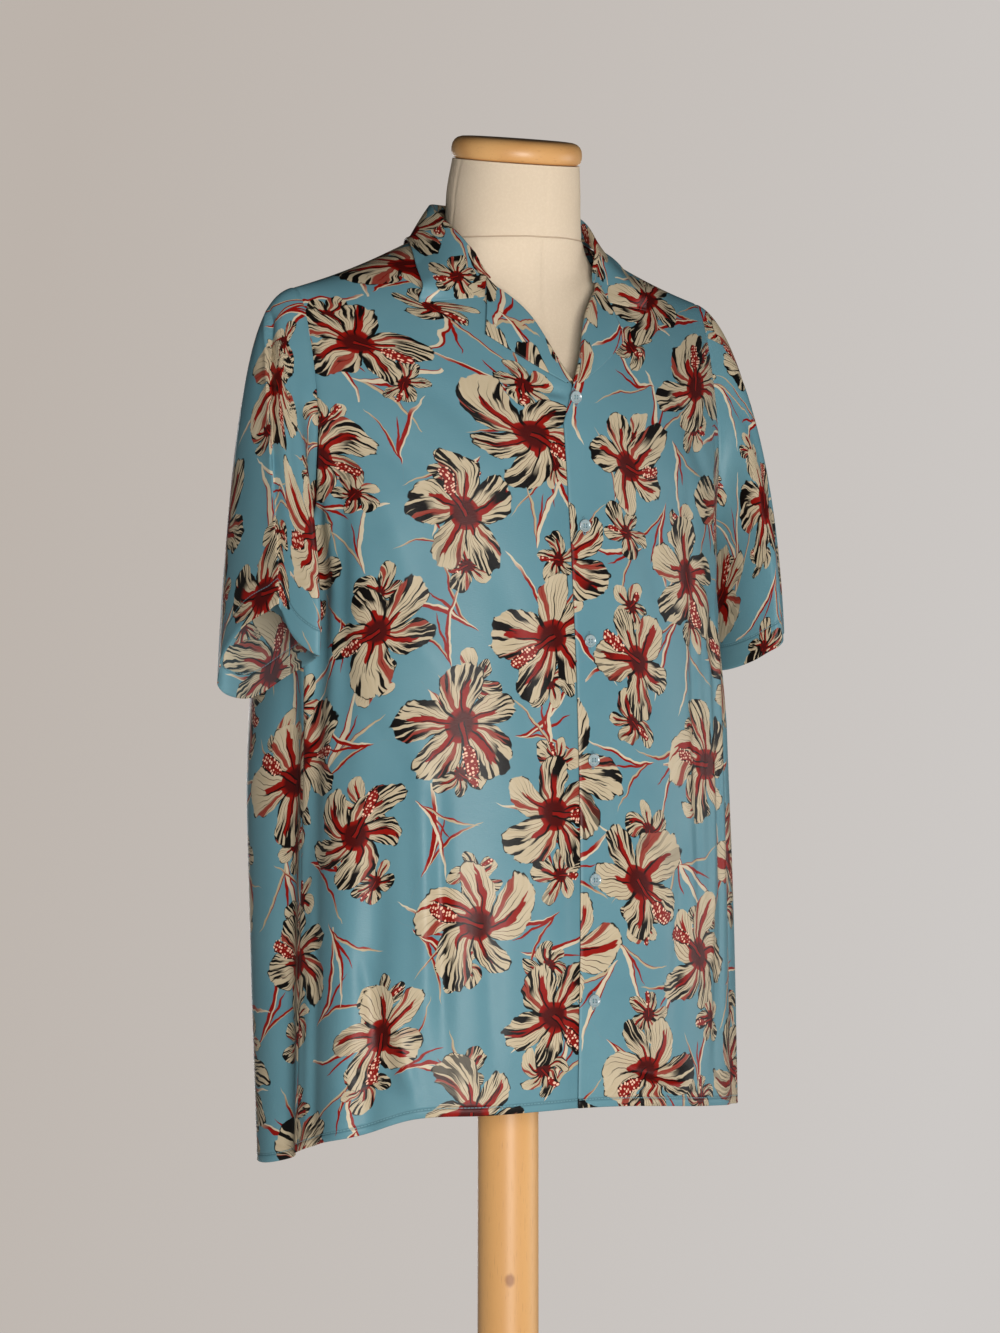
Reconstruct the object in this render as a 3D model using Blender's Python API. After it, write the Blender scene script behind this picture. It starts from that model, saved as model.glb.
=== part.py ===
"""A short-sleeved camp-collar shirt worn on a limbless dress form with a turned cap, a pole and a round foot.

Metres, +Z up, the front faces -Y and the wearer's left is +X. The origin is on the floor under the pole.
Every cloth piece is a wall: a grid of points on its outside, and the same grid moved in along its normals.
"""

import bpy
import numpy as np

# Driving dimensions
CLOTH = 0.0013              # wall of one layer of cloth
SEAM_GAP = 0.0003           # space between two pieces at a seam
ARMHOLE_EASE = 0.0003       # added to the armhole's gap, because the sleeve's wall leans in over it
LAYER = 0.0009              # air between two layers of cloth that lie on each other
NECK_POINT_X = 0.078        # from the centre to the neck end of the shoulder seam
RIDGE_Z = 1.5466            # height at which the two shoulder lines would cross
SHOULDER_SLOPE = 0.46       # fall of the shoulder line for each metre outwards
TIP_FROM = 0.110            # from here outwards it flattens,
TIP_WIDTH = 0.100           # over this width,
TIP_RISE = 0.010            # by so much
SHOULDER_DROP = 0.21        # from the shoulder line down to the chest line
BACK_NECK_Z = 1.514         # neck seam at the centre back
V_BOTTOM_Z = 1.376          # where the two rolls of the open neck cross
V_SPREAD = 0.60             # how far the roll moves outwards for each metre up
V_HEIGHT = 0.086            # from where the rolls cross up to the gorge
V_BOW = 0.0075              # how far each roll bows towards the centre between them
BUTTON_STAND = 0.013        # each front reaches this far past the centre
UNDERLAP = 0.034            # the under front drops behind the upper one from here to the centre
UNDERLAP_EASE = 0.016       # over this width
FRONT_HEM_Z = 0.752         # the hem at the centre front
ROW_EASE = 1.6              # how much closer the rows stand at the foot of the armhole
BUTTON_RADIUS = 0.0056
BUTTON_THICKNESS = 0.0024
BUTTON_HEIGHTS = (1.365, 1.2535, 1.154, 1.0515, 0.9485, 0.8445)
POLE_RADIUS = 0.027
BASE_RADIUS = 0.175
BASE_HEIGHT = 0.026
FORM_BOTTOM_Z = 0.815
NECK_TILT = np.radians(8.0)  # the top of the neck leans to the front

# The shirt's body, section by section. rise is measured up the cloth from the hem: CHEST_RISE is the chest
# line and SHOULDER_RISE the shoulder line. half_width and the two depths are the section's half axes, corner
# squares its back corners, middle_y is where front and back meet and armhole_x where the panels end above
# the chest line.
CHEST_RISE = 0.585
SHOULDER_RISE = 0.915
SECTION_COLUMNS = ("rise", "half_width", "front_depth", "back_depth", "corner", "middle_y", "armhole_x")
SECTIONS = (
    (0.000, 0.2180, 0.140, 0.160, 0.085, -0.004, 0.2180),
    (0.205, 0.2140, 0.148, 0.180, 0.115, 0.000, 0.2140),
    (0.410, 0.2090, 0.142, 0.189, 0.140, 0.003, 0.2090),
    (0.585, 0.2080, 0.124, 0.167, 0.090, 0.003, 0.2080),
    (0.684, 0.2160, 0.114, 0.142, 0.020, 0.008, 0.2040),
    (0.783, 0.2190, 0.112, 0.116, 0.000, 0.014, 0.2040),
    (0.915, 0.2200, 0.112, 0.098, 0.000, 0.017, 0.2050),
)

# Soft vertical folds in the body. bearing is in degrees from the centre front, the wearer's left positive,
# depth is inwards (or outwards where negative), and a fold fades out below its highest level.
FOLD_COLUMNS = ("bearing", "depth", "width", "slant", "high")
FOLDS = (
    (-97.0, 0.0105, 5.0, 2.0, 0.95),
    (-112.0, -0.0075, 9.0, 0.0, 0.90),
    (-83.0, 0.0085, 7.0, 0.0, 1.55),
    (-58.0, 0.0052, 4.5, 4.0, 0.62),
    (-67.0, -0.0040, 6.0, 3.0, 0.70),
    (-84.0, -0.0035, 3.2, 2.0, 0.60),
    (62.0, 0.0036, 4.0, -2.0, 0.80),
    (72.0, -0.0030, 4.0, 0.0, 1.00),
    (50.0, -0.0020, 5.0, 3.0, 0.35),
    (96.0, 0.0095, 5.0, -2.0, 0.95),
    (113.0, -0.0060, 9.0, 0.0, 0.90),
    (138.0, 0.0075, 7.0, 4.0, 0.80),
    (-142.0, 0.0085, 7.0, -4.0, 0.85),
    (158.0, -0.0050, 8.0, 0.0, 0.75),
    (-165.0, -0.0045, 9.0, 0.0, 0.70),
    (176.0, 0.0045, 7.0, -3.0, 0.55),
)

# The hem's height around the body, by bearing.
HEM_COLUMNS = ("bearing", "z")
HEM = (
    (-180.0, 0.725),
    (-150.0, 0.718),
    (-122.0, 0.703),
    (-105.0, 0.701),
    (-92.0, 0.712),
    (-75.0, 0.7235),
    (-60.0, 0.732),
    (-45.0, 0.746),
    (-25.0, 0.749),
    (0.0, 0.753),
    (40.0, 0.746),
    (90.0, 0.738),
    (135.0, 0.731),
    (180.0, 0.725),
)

# The collar from the centre back to its front end. The fold is its highest line and the edge its free one. sag
# is how far its fall hangs below the straight line between them, and stand is the height of its stand.
COLLAR_COLUMNS = ("along", "fold_x", "fold_y", "fold_z", "edge_x", "edge_y", "edge_z", "sag", "stand")
COLLAR = (
    (0.00, 0.0000, 0.0620, 1.5420, 0.0000, 0.0960, 1.4860, -0.003, 0.0290),
    (0.22, 0.0340, 0.0550, 1.5415, 0.0480, 0.0840, 1.4880, -0.003, 0.0290),
    (0.42, 0.0590, 0.0360, 1.5400, 0.0775, 0.0500, 1.4960, 0.000, 0.0290),
    (0.58, 0.0730, 0.0100, 1.5350, 0.0945, 0.0140, 1.5045, 0.004, 0.0245),
    (0.72, 0.0745, -0.0160, 1.5220, 0.1055, -0.0190, 1.4870, 0.012, 0.0095),
    (0.86, 0.0680, -0.0440, 1.4990, 0.1120, -0.0450, 1.4670, 0.009, 0.0035),
    (1.00, 0.0565, -0.0660, 1.4695, 0.1160, -0.0700, 1.4480, 0.000, 0.0012),
)

# Where the collar's front end is sewn to the lapel, the notch between them and the lapel's tip, as x and z.
GORGE = (0.0558, 1.4690)
NOTCH = (0.0620, 1.4522)
LAPEL_TIP = (0.0695, 1.4183)
LAPEL_BELLY = 0.002         # how far the lapel's lower edge curves down
LAPEL_FOOT = (0.006, 1.377)  # where its lower edge starts, under the first button
FALL_KNEE = 0.30            # where the fall's curve bends most, as a share of its width from the fold
FALL_EASE = 0.003           # how far it stands outwards there
FALL_CLEARANCE = 0.0034     # from the shoulder to the fall's outside
STAND_GAP = 0.0042          # between the collar's fold and the top of its stand, with the cloth of both
STAND_LIES_FROM = 0.78      # from here towards the collar's front end its stand lies down beside the fold
STAND_LIES_OVER = 0.14
LAIN_STAND = 0.0046         # how far it reaches in from the fold there
LAIN_LIFT = (0.0, -0.0006, 0.0010)

# The sleeves: where the hem's loop lies and how it is turned, in the wearer's left sleeve's own terms. out_x
# and fore_y are the loop's centre, wide and thin its half axes, turn is how far its wide axis swings outwards
# at the front, and cap is how far the cloth stands out as it leaves the top of the armhole.
SLEEVE_COLUMNS = ("side", "out_x", "fore_y", "wide", "thin", "turn", "cap")
SLEEVES = {
    "sleeve_right": (-1.0, 0.2385, 0.001, 0.067, 0.0255, -11.0, 0.051),
    "sleeve_left": (1.0, 0.2415, -0.006, 0.063, 0.0255, 0.0, 0.040),
}

# Height of the sleeves' hems around their loops, in degrees from the outer side over the front.
SLEEVE_HEM_COLUMNS = ("around", "sleeve_right", "sleeve_left")
SLEEVE_HEMS = (
    (-50.0, 1.130, 1.168),
    (-25.0, 1.148, 1.171),
    (0.0, 1.168, 1.170),
    (24.0, 1.179, 1.167),
    (39.0, 1.185, 1.164),
    (52.0, 1.164, 1.162),
    (75.0, 1.146, 1.156),
    (110.0, 1.141, 1.146),
    (135.0, 1.140, 1.137),
    (180.0, 1.126, 1.129),
    (225.0, 1.105, 1.139),
    (270.0, 1.113, 1.156),
    (310.0, 1.130, 1.168),
    (335.0, 1.148, 1.171),
    (360.0, 1.168, 1.170),
    (384.0, 1.179, 1.167),
    (399.0, 1.185, 1.164),
)
CAP_FALLS = -0.012                       # how far the cloth falls as it leaves the top of the armhole
UNDERARM_LEAVES = (0.009, 0.0, -0.022)   # how it leaves the armhole under the arm
HANG = 0.60                              # how straight down it hangs above the hem, as a share of its length
CAP_DRAWS_IN = (-0.010, 0.0, 0.0)        # how far its outer side draws in above the hem
HANG_EASE = 1.1                          # spaces the rows of points
FOLD_GROWS = 0.45                        # share of the length over which a fold reaches its depth

# Folds along the sleeves. around is in degrees from the sleeve's outer side over its front, depth is inwards,
# and a fold grows from the share of the sleeve's length at which it starts.
SLEEVE_FOLD_COLUMNS = ("sleeve", "around", "depth", "width", "start")
SLEEVE_FOLDS = (
    ("sleeve_right", 118.0, 0.0080, 15.0, 0.10),
    ("sleeve_right", 90.0, -0.0035, 12.0, 0.20),
    ("sleeve_right", 60.0, 0.0042, 14.0, 0.10),
    ("sleeve_right", 300.0, 0.0045, 16.0, 0.25),
    ("sleeve_right", 255.0, -0.0035, 16.0, 0.25),
    ("sleeve_left", 62.0, 0.0040, 14.0, 0.15),
    ("sleeve_left", 95.0, -0.0030, 14.0, 0.20),
    ("sleeve_left", 310.0, 0.0040, 15.0, 0.30),
    ("sleeve_left", 262.0, -0.0030, 14.0, 0.30),
)

# Rings of the dress form from its flat underside to the top of its neck. pinch above 1 draws an oval in
# between its four ends, as where the neck runs out into the shoulders.
FORM_COLUMNS = ("z", "half_width", "front_y", "back_y", "pinch")
FORM = (
    (FORM_BOTTOM_Z, 0.1620, -0.100, 0.104, 1.00),
    (0.900, 0.1610, -0.101, 0.103, 1.00),
    (1.000, 0.1480, -0.098, 0.088, 1.00),
    (1.080, 0.1440, -0.098, 0.082, 1.00),
    (1.180, 0.1560, -0.106, 0.094, 1.00),
    (1.280, 0.1700, -0.110, 0.106, 1.00),
    (1.350, 0.1770, -0.096, 0.104, 1.00),
    (1.400, 0.1760, -0.078, 0.094, 1.00),
    (1.430, 0.1630, -0.066, 0.080, 1.10),
    (1.455, 0.1340, -0.061, 0.068, 1.22),
    (1.476, 0.0980, -0.059, 0.056, 1.30),
    (1.492, 0.0760, -0.060, 0.050, 1.18),
    (1.508, 0.0650, -0.063, 0.048, 1.05),
    (1.530, 0.0605, -0.066, 0.049, 1.00),
    (1.548, 0.0595, -0.068, 0.049, 1.00),
    (1.577, 0.0562, -0.070, 0.042, 1.00),
)

UPPER_LEVELS = 12           # rows of points between the chest line and the shoulder line
LOWER_LEVELS = 10           # rows of points between the hem and the chest line
FRONT_COLUMNS = 19
SHOULDER_COLUMNS = 11
NECK_COLUMNS = 10
SLEEVE_ROWS = 12
COLLAR_STATIONS = 17
FALL_ROWS = 7
LAPEL_ROWS = 9
LAPEL_COLUMNS = 6


def clear_scene():
    """Removes every object, so that the script can be run again."""
    for thing in list(bpy.data.objects):
        bpy.data.objects.remove(thing, do_unlink=True)


def read(table, columns, name):
    """One named column of a table, as an array."""
    return np.array([row[columns.index(name)] for row in table], float)


def smooth(table, columns, name, at):
    """A table's column read between its rows on a Catmull-Rom curve through them."""
    keys = read(table, columns, columns[0])
    values = read(table, columns, name)
    at = np.clip(np.asarray(at, float), keys[0], keys[-1])
    slopes = np.gradient(values, keys)
    row = np.clip(np.searchsorted(keys, at, side="right") - 1, 0, len(keys) - 2)
    span = keys[row + 1] - keys[row]
    t = (at - keys[row]) / span
    return (
        (2 * t**3 - 3 * t**2 + 1) * values[row]
        + (t**3 - 2 * t**2 + t) * span * slopes[row]
        + (3 * t**2 - 2 * t**3) * values[row + 1]
        + (t**3 - t**2) * span * slopes[row + 1]
    )


def ease(value):
    """0 below 0, 1 above 1 and a soft step between."""
    t = np.clip(value, 0.0, 1.0)
    return t * t * (3 - 2 * t)


def section(name, level):
    """A size of the body at a level: 0 is the hem, 1 the chest line and 2 the shoulder line."""
    rise = CHEST_RISE * np.minimum(level, 1.0) + (SHOULDER_RISE - CHEST_RISE) * np.maximum(level - 1.0, 0.0)
    return smooth(SECTIONS, SECTION_COLUMNS, name, rise)


def shoulder_z(x):
    """Height of the shoulder line at a distance from the centre."""
    return RIDGE_Z - SHOULDER_SLOPE * np.abs(x) + TIP_RISE * np.clip((np.abs(x) - TIP_FROM) / TIP_WIDTH, 0, 1) ** 2


def fold_depth(bearing, level):
    """How far the folds push the cloth inwards at a bearing and a level."""
    depth = np.zeros(np.broadcast(bearing, level).shape)
    for row in FOLDS:
        fold = dict(zip(FOLD_COLUMNS, row))
        off = bearing - fold["bearing"] - fold["slant"] * level
        off = (off + 180.0) % 360.0 - 180.0
        reach = 1 - ease((level - fold["high"] + 0.35) / 0.35)
        depth = depth + fold["depth"] * np.exp(-((off / fold["width"]) ** 2)) * reach
    return depth


def body_point(level, angle, front, sink=0.0):
    """A point on the outside of the shirt's body.

    level runs from the hem over the chest line to the shoulder line. angle is measured from the centre of the
    front or back to the side, the wearer's left positive. Below the chest line the point is on an oval, and
    above it the same oval shrinks over the shoulder as a quarter circle. sink moves the point inwards.
    """
    level, angle = np.broadcast_arrays(np.asarray(level, float), np.asarray(angle, float))
    bearing = np.degrees(np.where(front, angle, np.sign(angle + 1e-12) * np.pi - angle))
    half_width = section("half_width", level)
    depth = np.where(front, section("front_depth", level), section("back_depth", level))
    push = 1 + np.where(front, 0.0, section("corner", level)) * np.sin(2 * angle) ** 2
    arc = np.radians(90.0) * (2 - np.clip(level, 1.0, 2.0))
    x = half_width * np.sin(angle) * push
    across = depth * np.cos(angle) * push
    lower_z = shoulder_z(x) - SHOULDER_DROP
    hem_z = smooth(HEM, HEM_COLUMNS, "z", bearing)
    z = np.where(level < 1, hem_z + level * (lower_z - hem_z), lower_z + SHOULDER_DROP * np.cos(arc))
    inward = fold_depth(bearing, level) + sink
    size = np.hypot(np.sin(angle) / half_width, np.cos(angle) / depth)
    x = x - inward * np.sin(angle) / half_width / size
    across = across - inward * np.cos(angle) / depth / size
    turn = np.where(front, -1.0, 1.0)
    y = section("middle_y", level) + turn * (across * np.sin(arc) + SEAM_GAP / 2)
    return np.stack([x, y, z], axis=-1)


def push_clear(points, clearance):
    """Moves points out of the shoulder's rounded surface until they stand clear of it.

    The surface is a quarter circle once y is divided by the depth and z by the shoulder's drop, so a point
    inside it moves out along its own ray.
    """
    x, y, z = points[..., 0], points[..., 1], points[..., 2]
    rise = (z - shoulder_z(x) + SHOULDER_DROP) / SHOULDER_DROP
    level = 2 - np.degrees(np.arccos(np.clip(rise, 0, 1))) / 90.0
    middle = section("middle_y", level)
    depth = np.where(y < middle, section("front_depth", level), section("back_depth", level))
    depth = depth * np.sqrt(np.clip(1 - (x / section("half_width", level)) ** 2, 0.04, 1))
    ray = np.hypot((y - middle) / depth, rise)
    wanted = 1 + clearance / (0.5 * (depth + SHOULDER_DROP))
    grow = np.maximum(wanted / np.maximum(ray, 1e-6), 1.0)
    out = points.copy()
    out[..., 1] = middle + (y - middle) * grow
    out[..., 2] = shoulder_z(x) - SHOULDER_DROP + rise * grow * SHOULDER_DROP
    return out


def front_y(x, z):
    """y of the shirt's front at a place seen straight from the front."""
    rise = np.clip((z - shoulder_z(x) + SHOULDER_DROP) / SHOULDER_DROP, 0, 1)
    level = 2 - np.degrees(np.arccos(rise)) / 90.0
    below = np.clip((z - FRONT_HEM_Z) / (shoulder_z(x) - SHOULDER_DROP - FRONT_HEM_Z), 0, 1)
    level = np.where(rise > 0, level, below)
    across = section("front_depth", level) * np.sqrt(np.clip(1 - (x / section("half_width", level)) ** 2, 0, 1))
    arc = np.radians(90.0) * (2 - np.clip(level, 1.0, 2.0))
    return section("middle_y", level) - across * np.sin(arc)


def normals_of(points, closed):
    """Unit normals of a grid, along its first axis crossed with its second; closed wraps the second axis."""
    along = np.gradient(points, axis=0)
    if closed:
        across = (np.roll(points, -1, axis=1) - np.roll(points, 1, axis=1)) / 2
    else:
        across = np.gradient(points, axis=1)
    normal = np.cross(across, along)
    return normal / np.maximum(np.linalg.norm(normal, axis=-1, keepdims=True), 1e-12)


def make_material(name, colour, roughness):
    material = bpy.data.materials.get(name) or bpy.data.materials.new(name)
    material.use_nodes = True
    shader = material.node_tree.nodes["Principled BSDF"]
    shader.inputs["Base Color"].default_value = (*colour, 1.0)
    shader.inputs["Roughness"].default_value = roughness
    shader.inputs["Metallic"].default_value = 0.0
    return material


def add_mesh(name, points, faces, material):
    mesh = bpy.data.meshes.new(name)
    mesh.from_pydata([tuple(map(float, point)) for point in points], [], [tuple(map(int, face)) for face in faces])
    mesh.update()
    mesh.shade_smooth()
    mesh.set_sharp_from_angle(angle=np.radians(50))
    thing = bpy.data.objects.new(name, mesh)
    bpy.context.scene.collection.objects.link(thing)
    mesh.materials.append(material)
    return thing


def quads_of(rows, columns, start, closed, flip):
    """Faces of a grid of points numbered row by row from start."""
    faces = []
    for i in range(rows - 1):
        for j in range(columns if closed else columns - 1):
            k = (j + 1) % columns
            corners = [start + i * columns + j, start + i * columns + k,
                       start + (i + 1) * columns + k, start + (i + 1) * columns + j]
            faces.append([corners[0], *corners[:0:-1]] if flip else corners)
    return faces


def cloth_wall(name, outer, normals, material, closed=False, thickness=CLOTH):
    """One solid wall: the outer grid, the same grid moved in along its normals, and the edges between."""
    rows, columns = outer.shape[:2]
    inner = outer - normals * thickness
    count = rows * columns
    points = np.concatenate([outer.reshape(-1, 3), inner.reshape(-1, 3)])
    faces = quads_of(rows, columns, 0, closed, False) + quads_of(rows, columns, count, closed, True)
    wrap = columns if closed else columns - 1
    for j in range(wrap):
        k = (j + 1) % columns
        faces.append([k, j, count + j, count + k])
        last = (rows - 1) * columns
        faces.append([last + j, last + k, count + last + k, count + last + j])
    if not closed:
        for i in range(rows - 1):
            low, high = i * columns, (i + 1) * columns
            faces.append([low, high, count + high, count + low])
            end = columns - 1
            faces.append([high + end, low + end, count + low + end, count + high + end])
    return add_mesh(name, points, faces, material)


def levels():
    """The body's rows: even below the chest line, closer together at the foot of the armhole above it."""
    lower = np.linspace(0.0, 1.0, LOWER_LEVELS)[:-1]
    return np.concatenate([lower, 1 + np.linspace(0, 1, UPPER_LEVELS) ** ROW_EASE])


def side_angle(level):
    """The angle at which a panel ends: the side seam, or the armhole above the chest line."""
    ratio = np.where(level <= 1, 1.0, section("armhole_x", level) / section("half_width", level))
    return np.arcsin(np.clip(ratio, 0, 1))


def roll_bow(height):
    """How far a roll bows towards the centre at a height above the place where the two rolls cross."""
    return V_BOW * np.sin(np.pi * np.clip(height / V_HEIGHT, 0, 1) ** 2)


def roll_x(level):
    """How far from the centre a front's inner edge is: the button stand, or the roll of the open neck."""
    arc = np.radians(90.0) * (2 - np.clip(level, 1.0, 2.0))
    lean = 1 + V_SPREAD * SHOULDER_SLOPE
    height = (RIDGE_Z - SHOULDER_DROP * (1 - np.cos(arc)) - V_BOTTOM_Z) / lean
    roll = np.where(level < 1, -1.0, V_SPREAD * height - roll_bow(height) / lean)
    return np.maximum(roll, -BUTTON_STAND)


def make_front(name, side, material):
    """A front panel from its inner edge to the side seam and armhole; the wearer's left one lies on top."""
    level = levels()[:, None]
    inner = np.arcsin(roll_x(level) / section("half_width", level))
    outer = side_angle(level)
    share = np.linspace(0, 1, FRONT_COLUMNS)[None, :]
    angle = inner + (outer - inner) * share
    x = section("half_width", level) * np.sin(angle)
    under = (CLOTH + SEAM_GAP + LAYER) * ease((UNDERLAP - x) / UNDERLAP_EASE) if side < 0 else 0.0
    points = body_point(level, side * angle, True, under)
    if side < 0:
        points = points[:, ::-1]
    normals = normals_of(points, False)
    seam = 0 if side < 0 else -1
    flatten_seam(normals, slice(0, LOWER_LEVELS), seam)
    flatten_seam(normals, -1, slice(None))
    cloth_wall(name, points, normals, material)
    return points


def flatten_seam(normals, rows, columns):
    """At a seam between front and back the normal has no part along y, so both walls end face to face."""
    flat = normals[rows, columns] * np.array([1.0, 0.0, 1.0])
    normals[rows, columns] = flat / np.linalg.norm(flat, axis=-1, keepdims=True)


def make_back(material):
    """The back in one piece, between the shoulder seams, the neck, the armholes and the side seams."""
    level = levels()[:, None]
    top_inner = np.arcsin(roll_x(np.array(2.0)) / section("half_width", 2.0))
    share = np.linspace(1, 0, SHOULDER_COLUMNS)[:-1]
    outer = side_angle(level)
    tip = side_angle(np.array(2.0))
    shoulder = (top_inner + (tip - top_inner) * share) / tip
    across = np.concatenate([-shoulder, np.linspace(-top_inner, top_inner, NECK_COLUMNS + 1) / tip, shoulder[::-1]])
    angle = outer * across[None, :]
    x_top = section("half_width", 2.0) * np.sin(tip * across)
    dip = 1 - np.clip(np.abs(x_top) / NECK_POINT_X, 0, 1) ** 2
    drop = (shoulder_z(x_top) - (BACK_NECK_Z + (shoulder_z(NECK_POINT_X) - BACK_NECK_Z) * (1 - dip))) * (dip > 0)
    top = 2 - np.degrees(np.arccos(np.clip(1 - drop / SHOULDER_DROP, 0, 1))) / 90.0
    squeezed = np.where(level > 1, 1 + (level - 1) * (top[None, :] - 1), level)
    points = body_point(squeezed, angle, False)[:, ::-1]
    normals = normals_of(points, False)
    for seam in (0, -1):
        flatten_seam(normals, slice(0, LOWER_LEVELS), seam)
    on_shoulder = np.abs(across[::-1]) >= top_inner / tip - 1e-9
    flatten_seam(normals, -1, on_shoulder)
    cloth_wall("back", points, normals, material)


def make_sleeve(name, row, material):
    """A set-in sleeve: from each point of the armhole a curve runs out over the shoulder and down to the hem."""
    sleeve = dict(zip(SLEEVE_COLUMNS, row))
    level = levels()[LOWER_LEVELS - 1:]
    angle = side_angle(level)
    front = body_point(level, sleeve["side"] * angle, True)[::-1]
    back = body_point(level, sleeve["side"] * angle, False)
    start = np.concatenate([front, back[1:-1]])
    start[:, 0] *= sleeve["side"]
    count = len(start)
    start[:, 0] += SEAM_GAP + ARMHOLE_EASE
    around = np.linspace(0, 2 * np.pi, count, endpoint=False)
    turn = np.radians(sleeve["turn"])
    wide, thin = sleeve["wide"] * np.sin(around), sleeve["thin"] * np.cos(around)
    end = np.stack([
        sleeve["out_x"] + thin * np.cos(turn) + wide * np.sin(turn),
        sleeve["fore_y"] - wide * np.cos(turn) + thin * np.sin(turn),
        smooth(SLEEVE_HEMS, SLEEVE_HEM_COLUMNS, name, np.degrees(around)),
    ], axis=-1)
    top = (0.5 + 0.5 * np.cos(around))[:, None]
    leave = start + np.array([sleeve["cap"], 0.0, CAP_FALLS]) * top + np.array(UNDERARM_LEAVES) * (1 - top)
    reach = np.linalg.norm(end - start, axis=-1, keepdims=True)
    arrive = end + np.array([0.0, 0.0, HANG]) * reach + np.array(CAP_DRAWS_IN) * top
    t = np.linspace(0, 1, SLEEVE_ROWS)[:, None, None] ** HANG_EASE
    points = (1 - t) ** 3 * start + 3 * (1 - t) ** 2 * t * leave + 3 * (1 - t) * t**2 * arrive + t**3 * end
    reach = np.linspace(0, 1, SLEEVE_ROWS)[:, None, None]
    axis = points.mean(axis=1, keepdims=True)
    inward = (axis - points) * np.array([1, 1, 0])
    inward /= np.linalg.norm(inward, axis=-1, keepdims=True)
    for fold_row in SLEEVE_FOLDS:
        fold = dict(zip(SLEEVE_FOLD_COLUMNS, fold_row))
        off = (np.degrees(around) - fold["around"])[None, :, None]
        grow = ease((reach - fold["start"]) / FOLD_GROWS)
        points += (fold["sleeve"] == name) * fold["depth"] * grow * np.exp(-((off / fold["width"]) ** 2)) * inward
    points[..., 0] *= sleeve["side"]
    if sleeve["side"] > 0:
        points = points[:, ::-1]
    points = points[::-1]
    cloth_wall(name, points, normals_of(points, True), material, closed=True)
    return points


def mirror_columns(points):
    """Both halves of a piece from its left half, whose first column is on the centre."""
    other = points[:, :0:-1].copy()
    other[..., 0] *= -1
    return np.concatenate([other, points], axis=1)


def collar_column(name, at):
    return smooth(COLLAR, COLLAR_COLUMNS, name, at)


def front_layer(x, z, lift):
    """Points on the shirt's front at x and z, moved out along its normals by lift."""
    points = np.stack([x, front_y(x, z), z], axis=-1)
    step = 0.001
    slope_x = (front_y(x + step, z) - front_y(x - step, z)) / (2 * step)
    slope_z = (front_y(x, z + step) - front_y(x, z - step)) / (2 * step)
    normal = np.stack([slope_x, -np.ones_like(x), slope_z], axis=-1)
    return points + np.asarray(lift)[..., None] * normal / np.linalg.norm(normal, axis=-1, keepdims=True)


def roll_line(z):
    """x of the open neck's roll at a height."""
    height = z - V_BOTTOM_Z
    return V_SPREAD * height - roll_bow(height)


def make_lapel(name, side, material):
    """What shows of a facing: the front edge turned back along the roll, up to the gorge seam at its top."""
    row = np.linspace(0, 1, LAPEL_ROWS)[:, None]
    share = np.linspace(0, 1, LAPEL_COLUMNS)[None, :]
    foot_z = V_BOTTOM_Z + 0.004
    roll_z = foot_z + (GORGE[1] - SEAM_GAP - foot_z) * row
    hem_x = LAPEL_FOOT[0] + (LAPEL_TIP[0] - LAPEL_FOOT[0]) * row
    hem_z = LAPEL_FOOT[1] + (LAPEL_TIP[1] - LAPEL_FOOT[1]) * row - LAPEL_BELLY * np.sin(np.pi * row)
    x = roll_line(roll_z) + (hem_x - roll_line(roll_z)) * share
    z = roll_z + (hem_z - roll_z) * share
    points = front_layer(x, z, CLOTH + LAYER + 0.0006 * np.sin(np.pi * share))
    points[..., 0] *= side
    if side > 0:
        points = points[:, ::-1]
    points = points[::-1]
    cloth_wall(name, points, normals_of(points, False), material)


def make_collar(material):
    """The collar's stand, fold and fall as one wall, from the neck seam over the fold to the free edge."""
    along = np.linspace(0, 1, COLLAR_STATIONS)
    fold = np.stack([collar_column(f"fold_{axis}", along) for axis in "xyz"], axis=-1)
    edge = np.stack([collar_column(f"edge_{axis}", along) for axis in "xyz"], axis=-1)
    share = np.linspace(0, 1, FALL_ROWS)[:, None, None]
    outward = edge - fold
    outward[:, 2] = 0
    outward /= np.linalg.norm(outward, axis=-1, keepdims=True)
    sag = np.array([0, 0, 1.0]) * collar_column("sag", along)[:, None]
    knee = fold + (edge - fold) * FALL_KNEE + outward * FALL_EASE - sag
    fall = (1 - share) ** 2 * fold + 2 * (1 - share) * share * knee + share**2 * edge
    notch = front_layer(np.array(NOTCH[0]), np.array(NOTCH[1]), np.array(CLOTH + LAYER))
    turned = np.where(share < 1 / 3, fold + (notch - fold) * 3 * share, notch + (edge - notch) * (1.5 * share - 0.5))
    near_end = ease((along - 0.80) / 0.20)[None, :, None] ** 2
    fall = fall + (turned - fall) * near_end
    flat = front_layer(fall[..., 0], np.minimum(fall[..., 2], shoulder_z(fall[..., 0]) - 0.002), CLOTH + LAYER)
    on_front = ease((along - 0.86) / 0.14)[None, :, None]
    fall = push_clear(fall, FALL_CLEARANCE)
    fall = fall + (flat - fall) * on_front * np.array([0, 1, 0])
    stand = np.array([0, 0, 1.0]) * collar_column("stand", along)[:, None]
    top = fall[0] - outward * STAND_GAP - np.minimum(stand / 3, 0.003)
    foot = top - outward * 0.0008 - stand
    crown = fall[0] - outward * STAND_GAP / 2 + np.array([0, 0, 0.0008])
    upright = np.stack([foot, (foot + top) / 2, top, crown])
    lain = fall[0] + np.array(LAIN_LIFT) - outward * np.linspace(LAIN_STAND, LAIN_STAND / 4, 4)[:, None, None]
    lying = ease((along - STAND_LIES_FROM) / STAND_LIES_OVER)[None, :, None]
    points = np.concatenate([upright + (lain - upright) * lying, fall], axis=0)
    points = mirror_columns(points)[::-1, ::-1]
    cloth_wall("collar", points, normals_of(points, False), material)


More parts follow.
